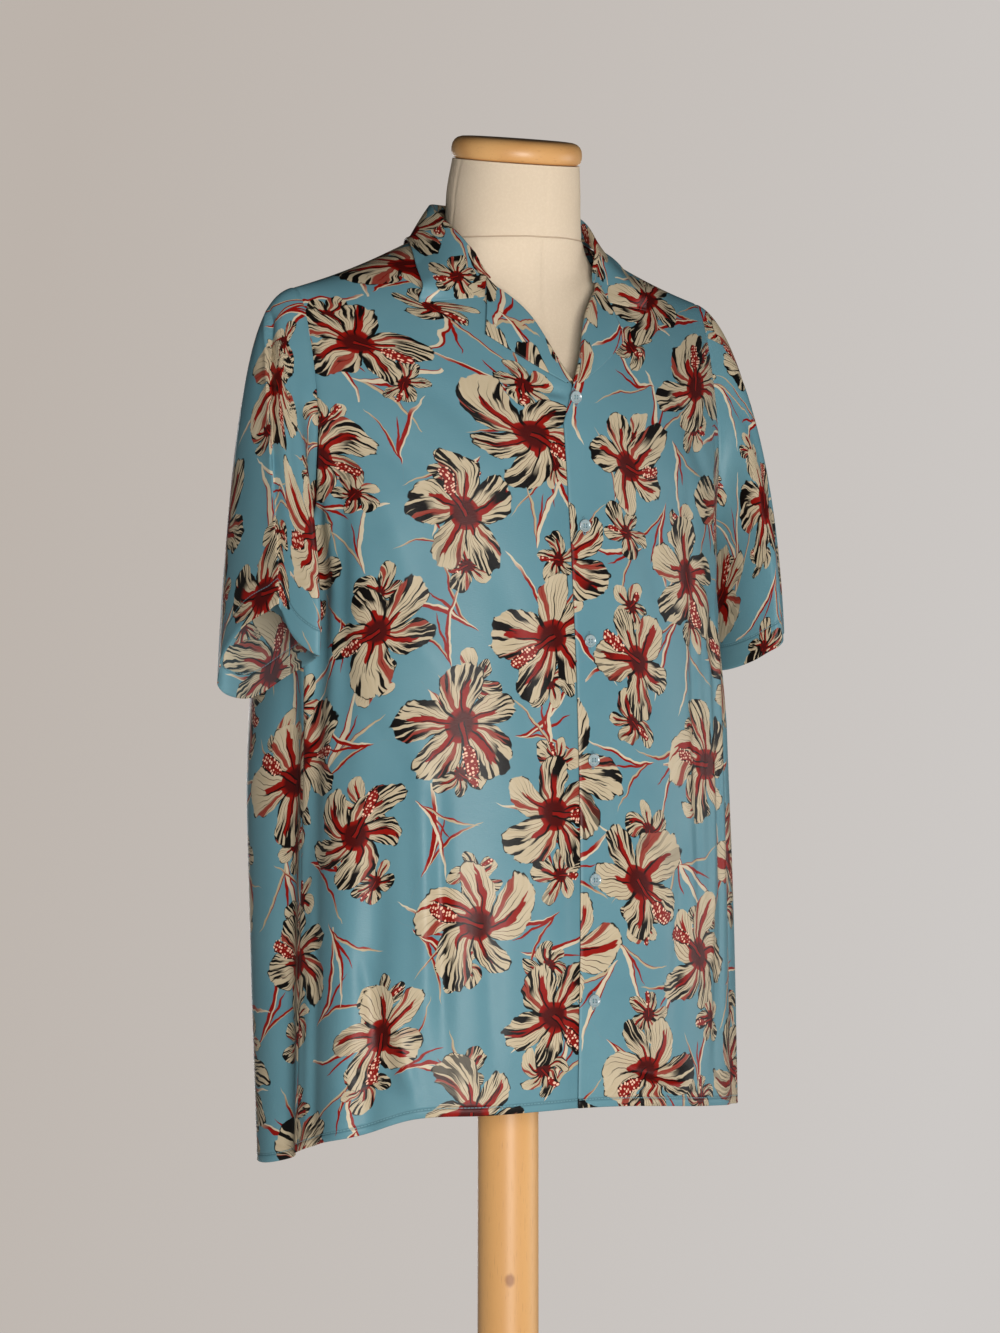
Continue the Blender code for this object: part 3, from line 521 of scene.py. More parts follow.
def flower(paint, colour, u, v, row):
    """Lays one lattice of flowers over a colour. Round the centre the angle is shared out into petals that
    swirl with the radius. A petal reaches 1 - 2.6 |t|^2.2 of the radius, t being -0.5 to 0.5 across it, and
    a stamen with a beaded head runs out over one of them along an axis of its own."""
    size = dict(zip(FLOWER_COLUMNS, row))
    x, y, chance, other = cell(paint, u, v, size)
    radius = size["radius"] * (0.92 + 0.20 * other)
    across, up = x / radius, y / radius
    r = (across * across + up * up) ** 0.5
    angle = up.maths("ARCTAN2", across)
    swirl = r * (chance * 1.9 - 0.75)
    share = (angle + swirl + (angle * 2 + other * 6).maths("SINE") * 0.16) * (PETALS / (2 * np.pi))
    number = share.maths("FLOOR")
    t = share - number - 0.5
    own = paint.node("TexWhiteNoise", {"noise_dimensions": "3D"},
                     {"Vector": paint.vector(number.maths("FLOORED_MODULO", PETALS), chance, other)})
    luck = paint.parts(own.outputs["Color"])
    length = 0.74 + 0.26 * luck[0]
    lean = t - (luck[1] - 0.5) * 0.16 * r
    wave = paint.noise(paint.vector(x, y), 110.0, 1.0, size["seed"])
    streak = paint.noise(paint.vector(lean * 15.0, r * 1.5, number + chance * 9.0), 1.0, 1.0)
    edge = length * (1.0 - 2.6 * abs(lean) ** 2.2) + (wave - 0.5) * 0.20
    inside = paint.step(edge - r, -0.008, 0.008)
    petal_width = radius * 2 * np.pi / PETALS
    off_vein = abs(lean) * r * petal_width
    to_side = (0.5 - abs(t)) * r * petal_width
    petal = paint.blend(streak, *CREAM)
    fringe = paint.step(streak, 0.50, 0.53) * paint.step(r / edge, 0.48, 0.72)
    fringe = fringe * paint.step(luck[2], 0.20, 0.30)
    ribs = abs((lean * 11 + r * 0.8).maths("FRACT") - 0.5)
    ribs = paint.step(ribs, 0.085, 0.045) * paint.step(r, 0.86, 0.55)
    throat = 1 - paint.step(abs(lean + 0.06), 0.02, 0.17)
    flame = 0.24 + 0.62 * throat * (0.30 + 1.2 * streak) * luck[1].maths("SQRT")
    red = paint.step(flame - r, -0.008, 0.012)
    side = paint.step(abs(lean - 0.24 - 0.06 * r), 0.070, 0.050)
    side = side * paint.step(luck[0], 0.35, 0.36) * paint.step(r, 0.98, 0.85)
    shadow = paint.step(to_side, 0.0030, 0.0002) * paint.step(t, -0.02, 0.02)
    rim_line = paint.step(edge - r, 0.030, 0.012) * paint.step(wave, 0.50, 0.54)
    outline = (paint.step(to_side, 0.0013, 0.0008) + rim_line).maths("MINIMUM", 1.0)
    petal = paint.blend(shadow * 0.55, petal, tone(128, 104, 74))
    petal = paint.blend(ribs * 0.85, petal, paint.blend(paint.step(r, 0.40, 0.62), MAROON, INK))
    petal = paint.blend(side * 0.9, petal, RED)
    petal = paint.blend(red, petal, RED)
    petal = paint.blend(paint.step(off_vein, 0.0010, 0.0004) * paint.step(r, 0.66, 0.50), petal, INK)
    petal = paint.blend(fringe, petal, INK)
    petal = paint.blend(outline * paint.step(r, 0.08, 0.22), petal, INK)
    petal = paint.blend(paint.step(r, 0.22, 0.14), petal, MAROON)
    colour = paint.blend(inside, colour, petal)
    along = (across + 0.04) / 0.78
    bow = up - across * across * (chance - 0.5) * 0.5
    reach = along.maths("MAXIMUM", 0.0).maths("MINIMUM", 1.0)
    stalk = abs(bow) - 0.022 - 0.055 * paint.step(reach, 0.40, 0.62) * (1 - paint.step(reach, 0.92, 1.0))
    limits = paint.step(along, -0.01, 0.01) * paint.step(along, 1.01, 0.99)
    colour = paint.blend(paint.step(stalk, 0.026, 0.018) * limits, colour, INK)
    colour = paint.blend(paint.step(stalk, 0.006, -0.002) * limits, colour, tone(132, 20, 14))
    beads = {"Vector": paint.vector(x, y), "Scale": 330.0, "Randomness": 0.45}
    bead = paint.value(paint.node("TexVoronoi", {"feature": "F1"}, beads).outputs["Distance"])
    head = paint.step(stalk, 0.034, 0.026) * paint.step(reach, 0.42, 0.46) * limits
    return paint.blend(paint.step(bead, 0.42, 0.30) * head, colour, DOT)


def leaf(paint, colour, u, v, row):
    """Lays one lattice of sprigs over a colour: three blades from one foot, each a strip whose half width is
    w (4 s (1 - s))^0.7 and whose middle line bends away as s squared."""
    size = dict(zip(LEAF_COLUMNS, row))
    x, y, chance, other = cell(paint, u, v, size)
    along = x / size["length"] + 0.5
    for blade_row in BLADES:
        blade = dict(zip(BLADE_COLUMNS, blade_row))
        s = (along / blade["reach"]).maths("MINIMUM", 1.0).maths("MAXIMUM", 0.0)
        half = size["width"] * blade["width"] * (4 * s * (1 - s)) ** 0.7
        off = y - size["bend"] * size["length"] * blade["bend"] * s * s * (0.6 + 0.8 * other)
        inside = paint.step(half - abs(off), -0.0001, 0.0003)
        streak = paint.step(off + half * (chance * 1.2 - 0.6), -0.0003, 0.0003) * paint.step(s, 0.95, 0.70)
        colour = paint.blend(inside, colour, paint.blend(streak, blade["colour"], RED))
    return colour


def printed_satin(name, wrong_side):
    """One face of the cloth. Both read the same print on the map of the flat cut, and their stitches on a map
    of the distances along and across each stitched line."""
    paint = Finish(name, 0.70, **{"Specular IOR Level": SATIN_GLOSS})
    cut = paint.node("UVMap", {"uv_map": "Cut"}, {}).outputs[0]
    across, up, _ = paint.parts(cut)
    u = across + (paint.noise(cut, 42.0, 2.0, 1.0) - 0.5) * DRIFT
    v = up + (paint.noise(cut, 42.0, 2.0, 2.0) - 0.5) * DRIFT
    colour = paint.blend(paint.noise(cut, 16.0, 3.0, 7.0), *GROUND)
    for row in LEAVES:
        colour = leaf(paint, colour, u, v, row)
    for row in FLOWERS:
        colour = flower(paint, colour, u, v, row)
    yarn = paint.noise(paint.vector(across * 260.0, up * 1700.0), 1.0, 2.0, 5.0)
    run, off, _ = paint.parts(paint.node("UVMap", {"uv_map": "Stitch"}, {}).outputs[0])
    line = paint.step(abs(off), 0.00055, 0.00025)
    thread = line * paint.step(abs((run / STITCH_LENGTH).maths("FRACT") - 0.5), 0.42, 0.34)
    groove = paint.step(abs(off), 0.0022, 0.0004)
    colour = paint.blend(thread * 0.65, colour, tone(120, 168, 180))
    # Painted shade in the groove beside each stitched line: the cloth darkens there except under the thread.
    colour = paint.blend((groove - thread * groove) * 0.22, colour, tone(30, 50, 60))
    if wrong_side:
        colour = paint.blend(0.14, colour, tone(128, 150, 156))
    else:
        paint.set(paint.shader, {"Roughness": 0.30 + yarn * 0.14})
    paint.set(paint.shader, {"Base Color": colour})
    paint.relief(yarn * 0.25 - groove * 0.8 + thread * 0.6, 0.0006)
    return paint.material


satin = [printed_satin("printed_satin", False), printed_satin("printed_satin_wrong_side", True)]


# ---------------------------------------------------------------- shirt body: back and two fronts
# Three flat-cut panels, sewn at the sides and shoulders and worn loose. The wearer's left front laps over
# the right one. Soft folds fall from the chest, and the hem is turned up 7 mm and stitched once.
CLOTH = 0.0012
EDGE_BULGE = 0.45               # of the wall
LAYERS = 0.0025                 # how far the under front lies behind the upper one
LAYERS_TO_X = 0.034
LAYERS_FADE = 0.016
SEAM_GAP = 0.0003
NECK_POINT_X = 0.078
RIDGE_Z = 1.5466
SHOULDER_SLOPE = 0.46
TIP_FROM = 0.110
TIP_WIDTH = 0.100
TIP_RISE = 0.010
SHOULDER_DROP = 0.21
BACK_NECK_Z = 1.514
V_BOTTOM_Z = 1.376
V_SPREAD = 0.60
V_HEIGHT = 0.086
V_BOW = 0.0075
BUTTON_STAND = 0.013
HEM_TURN = 0.0068
CHEST_RISE = 0.585
SHOULDER_RISE = 0.915
SECTION_COLUMNS = ("rise", "half_width", "front_depth", "back_depth", "corner", "middle_y", "armhole_x")
SECTIONS = (
    (0.000, 0.2180, 0.140, 0.160, 0.085, -0.004, 0.2180),
    (0.205, 0.2140, 0.148, 0.180, 0.115, 0.000, 0.2140),
    (0.410, 0.2090, 0.142, 0.189, 0.140, 0.003, 0.2090),
    (0.585, 0.2080, 0.124, 0.167, 0.090, 0.003, 0.2080),
    (0.684, 0.2160, 0.114, 0.142, 0.020, 0.008, 0.2040),
    (0.783, 0.2190, 0.112, 0.116, 0.000, 0.014, 0.2040),
    (0.915, 0.2200, 0.112, 0.098, 0.000, 0.017, 0.2050),
)
FOLD_FADE = 0.35                # the levels over which a fold runs out
# Main folds by their bearing in degrees from the front's middle, positive to the wearer's left: depth (out
# where negative), half width in degrees, degrees of slant for each level, and the level where they end.
FOLD_COLUMNS = ("bearing", "depth", "width", "slant", "high")
FOLDS = (
    (-97.0, 0.0105, 5.0, 2.0, 0.95),
    (-112.0, -0.0075, 9.0, 0.0, 0.90),
    (-83.0, 0.0085, 7.0, 0.0, 1.55),
    (-58.0, 0.0052, 4.5, 4.0, 0.62),
    (-67.0, -0.0040, 6.0, 3.0, 0.70),
    (-84.0, -0.0035, 3.2, 2.0, 0.60),
    (62.0, 0.0036, 4.0, -2.0, 0.80),
    (72.0, -0.0030, 4.0, 0.0, 1.00),
    (50.0, -0.0020, 5.0, 3.0, 0.35),
    (96.0, 0.0095, 5.0, -2.0, 0.95),
    (113.0, -0.0060, 9.0, 0.0, 0.90),
    (138.0, 0.0075, 7.0, 4.0, 0.80),
    (-142.0, 0.0085, 7.0, -4.0, 0.85),
    (158.0, -0.0050, 8.0, 0.0, 0.75),
    (-165.0, -0.0045, 9.0, 0.0, 0.70),
    (176.0, 0.0045, 7.0, -3.0, 0.55),
)
HEM_COLUMNS = ("bearing", "z")
HEM = (
    (-180.0, 0.725), (-150.0, 0.718), (-122.0, 0.703), (-105.0, 0.701), (-92.0, 0.712), (-75.0, 0.7235),
    (-60.0, 0.732), (-45.0, 0.746), (-25.0, 0.749), (0.0, 0.753), (40.0, 0.746), (90.0, 0.738),
    (135.0, 0.731), (180.0, 0.725),
)
# Creases of the body: where each starts and ends as x and height, its depth (a ridge where negative),
# its half width, and how far its middle bows sideways.
CREASE_COLUMNS = ("panel", "x", "z", "to_x", "to_z", "depth", "width", "bow")
CREASES = (
    ("front", -0.032, 1.371, -0.003, 1.366, 0.0023, 0.0034, 0.001),
    ("front", -0.030, 1.364, -0.006, 1.359, -0.0014, 0.0034, 0.001),
    ("front", -0.165, 1.395, -0.060, 1.300, 0.0023, 0.0140, 0.010),
    ("front", -0.192, 1.352, -0.115, 1.225, 0.0032, 0.0120, 0.014),
    ("front", -0.188, 1.318, -0.150, 1.180, -0.0026, 0.0100, 0.010),
    ("front", -0.205, 1.190, -0.120, 1.120, -0.0026, 0.0110, 0.010),
    ("front", -0.193, 1.360, -0.196, 1.020, 0.0075, 0.0075, 0.000),
    ("front", 0.193, 1.360, 0.196, 1.080, 0.0050, 0.0070, 0.000),
    ("front", -0.196, 1.150, -0.140, 1.020, 0.0032, 0.0090, -0.010),
    ("front", -0.090, 1.260, -0.050, 1.020, 0.0020, 0.0140, 0.006),
    ("front", -0.132, 1.060, -0.128, 0.770, 0.0046, 0.0070, -0.004),
    ("front", -0.150, 1.090, -0.147, 0.790, -0.0038, 0.0075, 0.004),
    ("front", -0.095, 0.960, -0.088, 0.765, 0.0026, 0.0090, -0.003),
    ("front", -0.050, 1.060, -0.035, 0.800, -0.0020, 0.0140, 0.004),
    ("front", -0.190, 0.900, -0.168, 0.748, 0.0046, 0.0065, 0.004),
    ("front", -0.178, 0.850, -0.150, 0.742, -0.0038, 0.0060, 0.004),
    ("front", -0.196, 0.795, -0.150, 0.768, 0.0038, 0.0050, -0.003),
    ("front", 0.010, 1.150, 0.030, 0.900, 0.0017, 0.0120, 0.004),
    ("front", 0.045, 1.350, 0.095, 1.160, 0.0020, 0.0130, -0.008),
    ("front", 0.130, 1.380, 0.186, 1.270, 0.0026, 0.0110, -0.008),
    ("front", 0.192, 1.230, 0.120, 1.120, 0.0026, 0.0100, 0.010),
    ("front", 0.132, 1.310, 0.126, 0.860, 0.0029, 0.0060, -0.005),
    ("front", 0.146, 1.250, 0.142, 0.800, -0.0026, 0.0050, 0.004),
    ("front", 0.158, 1.200, 0.160, 0.770, 0.0032, 0.0045, 0.003),
    ("front", 0.174, 1.260, 0.172, 0.900, -0.0023, 0.0045, -0.003),
    ("front", 0.186, 1.180, 0.184, 0.790, 0.0029, 0.0040, 0.002),
    ("front", 0.100, 1.020, 0.085, 0.780, 0.0026, 0.0100, 0.005),
    ("front", 0.016, 0.796, 0.112, 0.776, 0.0061, 0.0060, -0.006),
    ("front", 0.024, 0.780, 0.120, 0.764, -0.0049, 0.0050, -0.004),
    ("front", 0.040, 0.764, 0.100, 0.760, 0.0032, 0.0036, -0.002),
    ("front", 0.150, 0.930, 0.148, 0.770, 0.0032, 0.0070, 0.004),
    ("back", -0.190, 1.350, -0.192, 1.100, 0.0045, 0.0070, 0.000),
    ("back", 0.190, 1.350, 0.192, 1.100, 0.0045, 0.0070, 0.000),
    ("back", -0.170, 1.360, -0.090, 1.230, 0.0032, 0.0140, 0.012),
    ("back", 0.170, 1.350, 0.080, 1.210, 0.0032, 0.0140, -0.012),
    ("back", -0.060, 1.440, 0.070, 1.432, 0.0020, 0.0100, -0.008),
    ("back", -0.190, 1.300, -0.120, 1.190, -0.0029, 0.0100, 0.010),
    ("back", 0.190, 1.290, 0.125, 1.170, -0.0029, 0.0100, -0.010),
    ("back", -0.180, 1.150, -0.100, 1.060, -0.0026, 0.0130, 0.008),
    ("back", 0.150, 1.080, 0.060, 0.960, 0.0026, 0.0140, -0.010),
    ("back", -0.030, 1.120, -0.020, 0.850, 0.0032, 0.0110, 0.006),
    ("back", 0.060, 0.930, 0.070, 0.730, 0.0043, 0.0090, 0.004),
    ("back", 0.082, 0.950, 0.094, 0.730, -0.0038, 0.0080, 0.004),
    ("back", -0.110, 0.960, -0.120, 0.725, 0.0043, 0.0090, -0.006),
    ("back", -0.135, 0.980, -0.146, 0.720, -0.0038, 0.0080, -0.004),
    ("back", -0.175, 0.860, -0.160, 0.712, 0.0043, 0.0060, 0.003),
    ("back", 0.150, 0.860, 0.160, 0.730, -0.0038, 0.0070, 0.004),
    ("back", -0.200, 0.780, -0.150, 0.752, 0.0035, 0.0050, -0.003),
)
CREASE_FADES = 0.011
SEAM_DIP_WIDTH = 0.0035
SEAM_DIP = 0.0006
FRONT_COLUMNS = 96
BACK_COLUMNS = 176
LOWER_ROWS = 130
UPPER_ROWS = 84
UPPER_CROWD = 1.6


def section(name, level):
    """A size of the body at a level: 0 is the hem, 1 the chest line and 2 the shoulder line."""
    rise = CHEST_RISE * np.minimum(level, 1.0) + (SHOULDER_RISE - CHEST_RISE) * np.maximum(level - 1.0, 0.0)
    return smooth(SECTIONS, SECTION_COLUMNS, name, rise)


def shoulder_z(x):
    """Height of the shoulder line: the ridge less slope |x|, flattened at its tips by
    rise ((|x| - from) / width)^2."""
    tip = np.clip((np.abs(x) - TIP_FROM) / TIP_WIDTH, 0, 1)
    return RIDGE_Z - SHOULDER_SLOPE * np.abs(x) + TIP_RISE * tip**2


def fold_depth(bearing, level):
    """Sum of depth exp(-(off / width)^2) over the folds, each faded out below its highest level."""
    depth = np.zeros(np.broadcast(bearing, level).shape)
    for row in FOLDS:
        fold = dict(zip(FOLD_COLUMNS, row))
        off = (bearing - fold["bearing"] - fold["slant"] * level + 180.0) % 360.0 - 180.0
        reach = 1 - ease((level - fold["high"] + FOLD_FADE) / FOLD_FADE)
        depth = depth + fold["depth"] * np.exp(-((off / fold["width"]) ** 2)) * reach
    return depth


def body_point(level, angle, front, sink=0.0):
    """The worn body: up to the chest line x = w sin a, y = m -+ d cos a. Above it the same oval closes over
    the shoulder as a quarter circle, y = m -+ d cos a sin q, z = foot + drop cos q. Folds and sink go in."""
    level, angle = np.broadcast_arrays(np.asarray(level, float), np.asarray(angle, float))
    bearing = np.degrees(np.where(front, angle, np.sign(angle + 1e-12) * np.pi - angle))
    half_width = section("half_width", level)
    depth = section("front_depth" if front else "back_depth", level)
    push = 1 + (0.0 if front else section("corner", level)) * np.sin(2 * angle) ** 2
    arc = np.radians(90.0) * (2 - np.clip(level, 1.0, 2.0))
    x, across = half_width * np.sin(angle) * push, depth * np.cos(angle) * push
    lower_z = shoulder_z(x) - SHOULDER_DROP
    hem_z = smooth(HEM, HEM_COLUMNS, "z", bearing)
    z = np.where(level < 1, hem_z + level * (lower_z - hem_z), lower_z + SHOULDER_DROP * np.cos(arc))
    inward = fold_depth(bearing, level) + sink
    size = np.hypot(np.sin(angle) / half_width, np.cos(angle) / depth)
    x = x - inward * np.sin(angle) / half_width / size
    across = across - inward * np.cos(angle) / depth / size
    y = section("middle_y", level) + (-1.0 if front else 1.0) * (across * np.sin(arc) + SEAM_GAP / 2)
    return np.stack([x, y, z], axis=-1)


def levels():
    """The panels' rows: even up to the chest line, then closer together at the foot of the armhole."""
    lower, upper = np.linspace(0, 1, LOWER_ROWS), np.linspace(0, 1, UPPER_ROWS)
    return np.concatenate([lower[:-1], 1 + upper**UPPER_CROWD])


def side_angle(level):
    """Where a panel ends: at the side seam, or above the chest line at the armhole, asin(x / w)."""
    ratio = np.where(level <= 1, 1.0, section("armhole_x", level) / section("half_width", level))
    return np.arcsin(np.clip(ratio, 0, 1))


def roll_bow(height):
    """How far a roll bows towards the centre: bow sin(pi (height / top)^2)."""
    return V_BOW * np.sin(np.pi * np.clip(height / V_HEIGHT, 0, 1) ** 2)


def roll_x(level):
    """Where a front's inner edge is: at the button stand, or on the roll x = spread (z - foot) - bow."""
    arc = np.radians(90.0) * (2 - np.clip(level, 1.0, 2.0))
    lean = 1 + V_SPREAD * SHOULDER_SLOPE
    height = (RIDGE_Z - SHOULDER_DROP * (1 - np.cos(arc)) - V_BOTTOM_Z) / lean
    roll = np.where(level < 1, -1.0, V_SPREAD * height - roll_bow(height) / lean)
    return np.maximum(roll, -BUTTON_STAND)


def unit_normals(points):
    """Cross product of the grid's two directions, at length 1."""
    normal = np.cross(np.gradient(points, axis=1), np.gradient(points, axis=0))
    return normal / np.maximum(np.linalg.norm(normal, axis=-1, keepdims=True), 1e-12)


def creased(points, panel, off_seam):
    """Moves points inwards by the sum of depth exp(-(d / width)^2) sin(pi s), where s runs along a crease and
    d is the distance from its bowed middle line, both seen straight from the front or back. Creases fade out
    towards a seam, from which each point is off_seam away."""
    depth = np.zeros(points.shape[:2])
    for row in CREASES:
        crease = dict(zip(CREASE_COLUMNS, row))
        if crease["panel"] != panel:
            continue
        run = np.array([crease["to_x"] - crease["x"], crease["to_z"] - crease["z"]])
        length = np.linalg.norm(run)
        run = run / length
        from_x, from_z = points[..., 0] - crease["x"], points[..., 2] - crease["z"]
        s = np.clip((from_x * run[0] + from_z * run[1]) / length, 0, 1)
        d = from_z * run[0] - from_x * run[1] - crease["bow"] * np.sin(np.pi * s)
        depth += crease["depth"] * np.exp(-((d / crease["width"]) ** 2)) * np.sin(np.pi * s)
    return points - (depth * ease(off_seam / CREASE_FADES))[..., None] * unit_normals(points)


def steps_along(points, axis):
    """Running length of a grid along one axis, from its first row or column."""
    gap = np.linalg.norm(np.diff(points, axis=axis), axis=-1)
    return np.concatenate([np.zeros_like(np.take(gap, [0], axis=axis)), np.cumsum(gap, axis=axis)], axis=axis)


def cloth_shell(name, node, outer, cut, stitch, sunk=0.0):
    """One panel as a thin wall: the outer grid, the same grid moved in along its normals, and between them an
    edge that bulges by a share of the wall. sunk is how far the outer face drops at each point."""
    normals = unit_normals(outer)
    rows, columns = outer.shape[:2]
    count = rows * columns
    face = (outer - normals * np.broadcast_to(sunk, (rows, columns))[..., None]).reshape(-1, 3)
    inner = (outer - normals * CLOTH).reshape(-1, 3)
    right = grid_quads(rows, columns, False)
    wrong = right[:, [0, 3, 2, 1]] + count
    ring = np.arange(count).reshape(rows, columns)
    runs = ((ring[0], -1, 0), (ring[-1][::-1], 1, 0), (ring[::-1, 0], 0, -1), (ring[:, -1], 0, 1))
    along, across = np.gradient(outer, axis=0), np.gradient(outer, axis=1)
    middles, strips = [], []
    base = 2 * count
    for edge, down, aside in runs:
        way = (along * down + across * aside).reshape(-1, 3)[edge]
        way /= np.maximum(np.linalg.norm(way, axis=-1, keepdims=True), 1e-12)
        middles.append((face[edge] + inner[edge]) / 2 + way * CLOTH * EDGE_BULGE)
        a, b = edge[:-1], edge[1:]
        c = base + np.arange(len(edge) - 1)
        strips.append(np.stack([b, a, c, c + 1], axis=-1))
        strips.append(np.stack([c + 1, c, a + count, b + count], axis=-1))
        base += len(edge)
    faces = np.concatenate([right, wrong, *strips])
    piece = show(name, np.concatenate([face, inner, *middles]), faces.tolist(), satin)
    slots = np.zeros(len(faces), np.int32)
    slots[len(right):2 * len(right)] = 1
    piece.data.polygons.foreach_set("material_index", slots)
    edges = np.concatenate([edge for edge, _, _ in runs])
    for label, (u, v) in (("Cut", cut), ("Stitch", stitch)):
        put_map(piece.data, label, np.concatenate([u.ravel(), u.ravel(), u.ravel()[edges]]),
                np.concatenate([v.ravel(), v.ravel(), v.ravel()[edges]]))
    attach(piece, "root")
    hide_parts(node)
    return piece


def near_seam(distance):
    """How far a panel's face drops beside a seam: depth (1 - ease(distance / width))."""
    return SEAM_DIP * (1 - ease(distance / SEAM_DIP_WIDTH))


def flat_map(points, centre, shift):
    """The flat cut: across from one column, up from the hem, each along the cloth itself."""
    across, up = steps_along(points, 1), steps_along(points, 0)
    return across - across[:, centre:centre + 1] + shift[0], up + shift[1]


def front_panel(name, side, shift):
    """A front from its inner edge to the side seam and armhole. The wearer's right one lies lower near the
    centre, by ease((to - x) / fade) of the layers' thickness."""
    level = levels()[:, None]
    inner = np.arcsin(roll_x(level) / section("half_width", level))
    angle = inner + (side_angle(level) - inner) * np.linspace(0, 1, FRONT_COLUMNS)[None, :]
    x = section("half_width", level) * np.sin(angle)
    under = LAYERS * ease((LAYERS_TO_X - x) / LAYERS_FADE) if side < 0 else 0.0
    points = body_point(level, side * angle, True, under)
    if side < 0:
        points = points[:, ::-1]
    across, up = steps_along(points, 1), steps_along(points, 0)
    off_seam = np.minimum(across if side < 0 else across[:, -1:] - across, up[-1:] - up)
    points = creased(points, "front", off_seam)
    across, up = steps_along(points, 1), steps_along(points, 0)
    cut = flat_map(points, 0 if side > 0 else FRONT_COLUMNS - 1, shift)
    return cloth_shell(name, name, points, cut, (across, up - HEM_TURN), near_seam(off_seam))


def back_panel(shift):
    """The back. Its top rows are squeezed so that the neck edge dips to its centre as 1 - (x / neck)^2."""
    level = levels()[:, None]
    tip = side_angle(np.array(2.0))
    across = np.linspace(-1, 1, BACK_COLUMNS)
    x_top = section("half_width", 2.0) * np.sin(tip * across)
    dip = 1 - np.clip(np.abs(x_top) / NECK_POINT_X, 0, 1) ** 2
    neck_z = BACK_NECK_Z + (shoulder_z(NECK_POINT_X) - BACK_NECK_Z) * (1 - dip)
    drop = (shoulder_z(x_top) - neck_z) * (dip > 0)
    top = 2 - np.degrees(np.arccos(np.clip(1 - drop / SHOULDER_DROP, 0, 1))) / 90.0
    squeezed = np.where(level > 1, 1 + (level - 1) * (top[None, :] - 1), level)
    points = body_point(squeezed, side_angle(level) * across[None, :], False)[:, ::-1]
    run, up = steps_along(points, 1), steps_along(points, 0)
    off_seam = np.minimum(np.minimum(run, run[:, -1:] - run), up[-1:] - up)
    points = creased(points, "back", off_seam)
    run, up = steps_along(points, 1), steps_along(points, 0)
    cut = flat_map(points, BACK_COLUMNS // 2, shift)
    return cloth_shell("back_panel", "back", points, cut, (run, up - HEM_TURN), near_seam(off_seam))


left_front = front_panel("front_left", 1, (0.020, 0.045))
right_front = front_panel("front_right", -1, (-0.037, 0.010))
back = back_panel((0.530, 0.020))


# ---------------------------------------------------------------- sleeves
# Short wide sleeves cut in one piece each, set into the armholes and closed by a seam under the arm. The
# hem is turned up 22 mm and stitched once. Both hang from the form's shoulders with no arm in them.
SLEEVE_HEM = 0.0215
TOP_DROP = 0.012                # how far the cloth drops as it leaves the armhole over the shoulder
UNDER_OUT = 0.009
UNDER_DROP = 0.022
ARRIVE_RISE = 0.60              # how steeply it reaches the hem, as a share of its length
ARRIVE_IN = 0.010
ROWS_BUNCH = 1.1
FOLD_GROWS = 0.45
SLEEVE_COLUMNS = ("side", "out_x", "fore_y", "wide", "thin", "turn", "cap")
SLEEVES = {
    "sleeve_right": (-1.0, 0.2385, 0.001, 0.067, 0.0255, -11.0, 0.051),
    "sleeve_left": (1.0, 0.2415, -0.006, 0.063, 0.0255, 0.0, 0.040),
}
# The hem's height round each sleeve, in degrees from the outer side over the front.
SLEEVE_HEM_COLUMNS = ("around", "sleeve_right", "sleeve_left")
SLEEVE_HEMS = (
    (0.0, 1.168, 1.170),
    (24.0, 1.179, 1.167),
    (39.0, 1.185, 1.164),
    (52.0, 1.164, 1.162),
    (75.0, 1.146, 1.156),
    (110.0, 1.141, 1.146),
    (135.0, 1.140, 1.137),
    (180.0, 1.126, 1.129),
    (225.0, 1.105, 1.139),
    (270.0, 1.113, 1.156),
    (310.0, 1.130, 1.168),
    (335.0, 1.148, 1.171),
)
# Folds run down a sleeve at a place around, and start at a share of its length.
SLEEVE_FOLD_COLUMNS = ("sleeve", "around", "depth", "width", "start")
SLEEVE_FOLDS = (
    ("sleeve_right", 118.0, 0.0080, 15.0, 0.10),
    ("sleeve_right", 90.0, -0.0035, 12.0, 0.20),
    ("sleeve_right", 60.0, 0.0042, 14.0, 0.10),
    ("sleeve_right", 300.0, 0.0045, 16.0, 0.25),
    ("sleeve_right", 255.0, -0.0035, 16.0, 0.25),
    ("sleeve_left", 62.0, 0.0040, 14.0, 0.15),
    ("sleeve_left", 95.0, -0.0030, 14.0, 0.20),
    ("sleeve_left", 310.0, 0.0040, 15.0, 0.30),
    ("sleeve_left", 262.0, -0.0030, 14.0, 0.30),
)
# Creases of the sleeves: where each starts and ends, in degrees around and as a share of the length, its
# depth (a ridge where negative) and its half width in degrees.
SLEEVE_CREASE_COLUMNS = ("sleeve", "around", "along", "to_around", "to_along", "depth", "width")
SLEEVE_CREASES = (
    ("sleeve_right", 95.0, 0.04, 65.0, 0.45, 0.0016, 8.0),
    ("sleeve_right", 20.0, 0.05, 12.0, 0.60, 0.0012, 7.0),
    ("sleeve_right", 60.0, 0.35, 72.0, 0.92, -0.0013, 8.0),
    ("sleeve_right", 330.0, 0.10, 322.0, 0.80, 0.0014, 8.0),
    ("sleeve_right", 280.0, 0.05, 270.0, 0.60, 0.0016, 9.0),
    ("sleeve_left", 80.0, 0.05, 60.0, 0.55, 0.0015, 8.0),
    ("sleeve_left", 25.0, 0.10, 30.0, 0.85, 0.0012, 7.0),
    ("sleeve_left", 350.0, 0.30, 340.0, 0.95, -0.0012, 8.0),
    ("sleeve_left", 120.0, 0.10, 115.0, 0.70, 0.0014, 9.0),
    ("sleeve_left", 285.0, 0.05, 275.0, 0.65, 0.0015, 9.0),
)
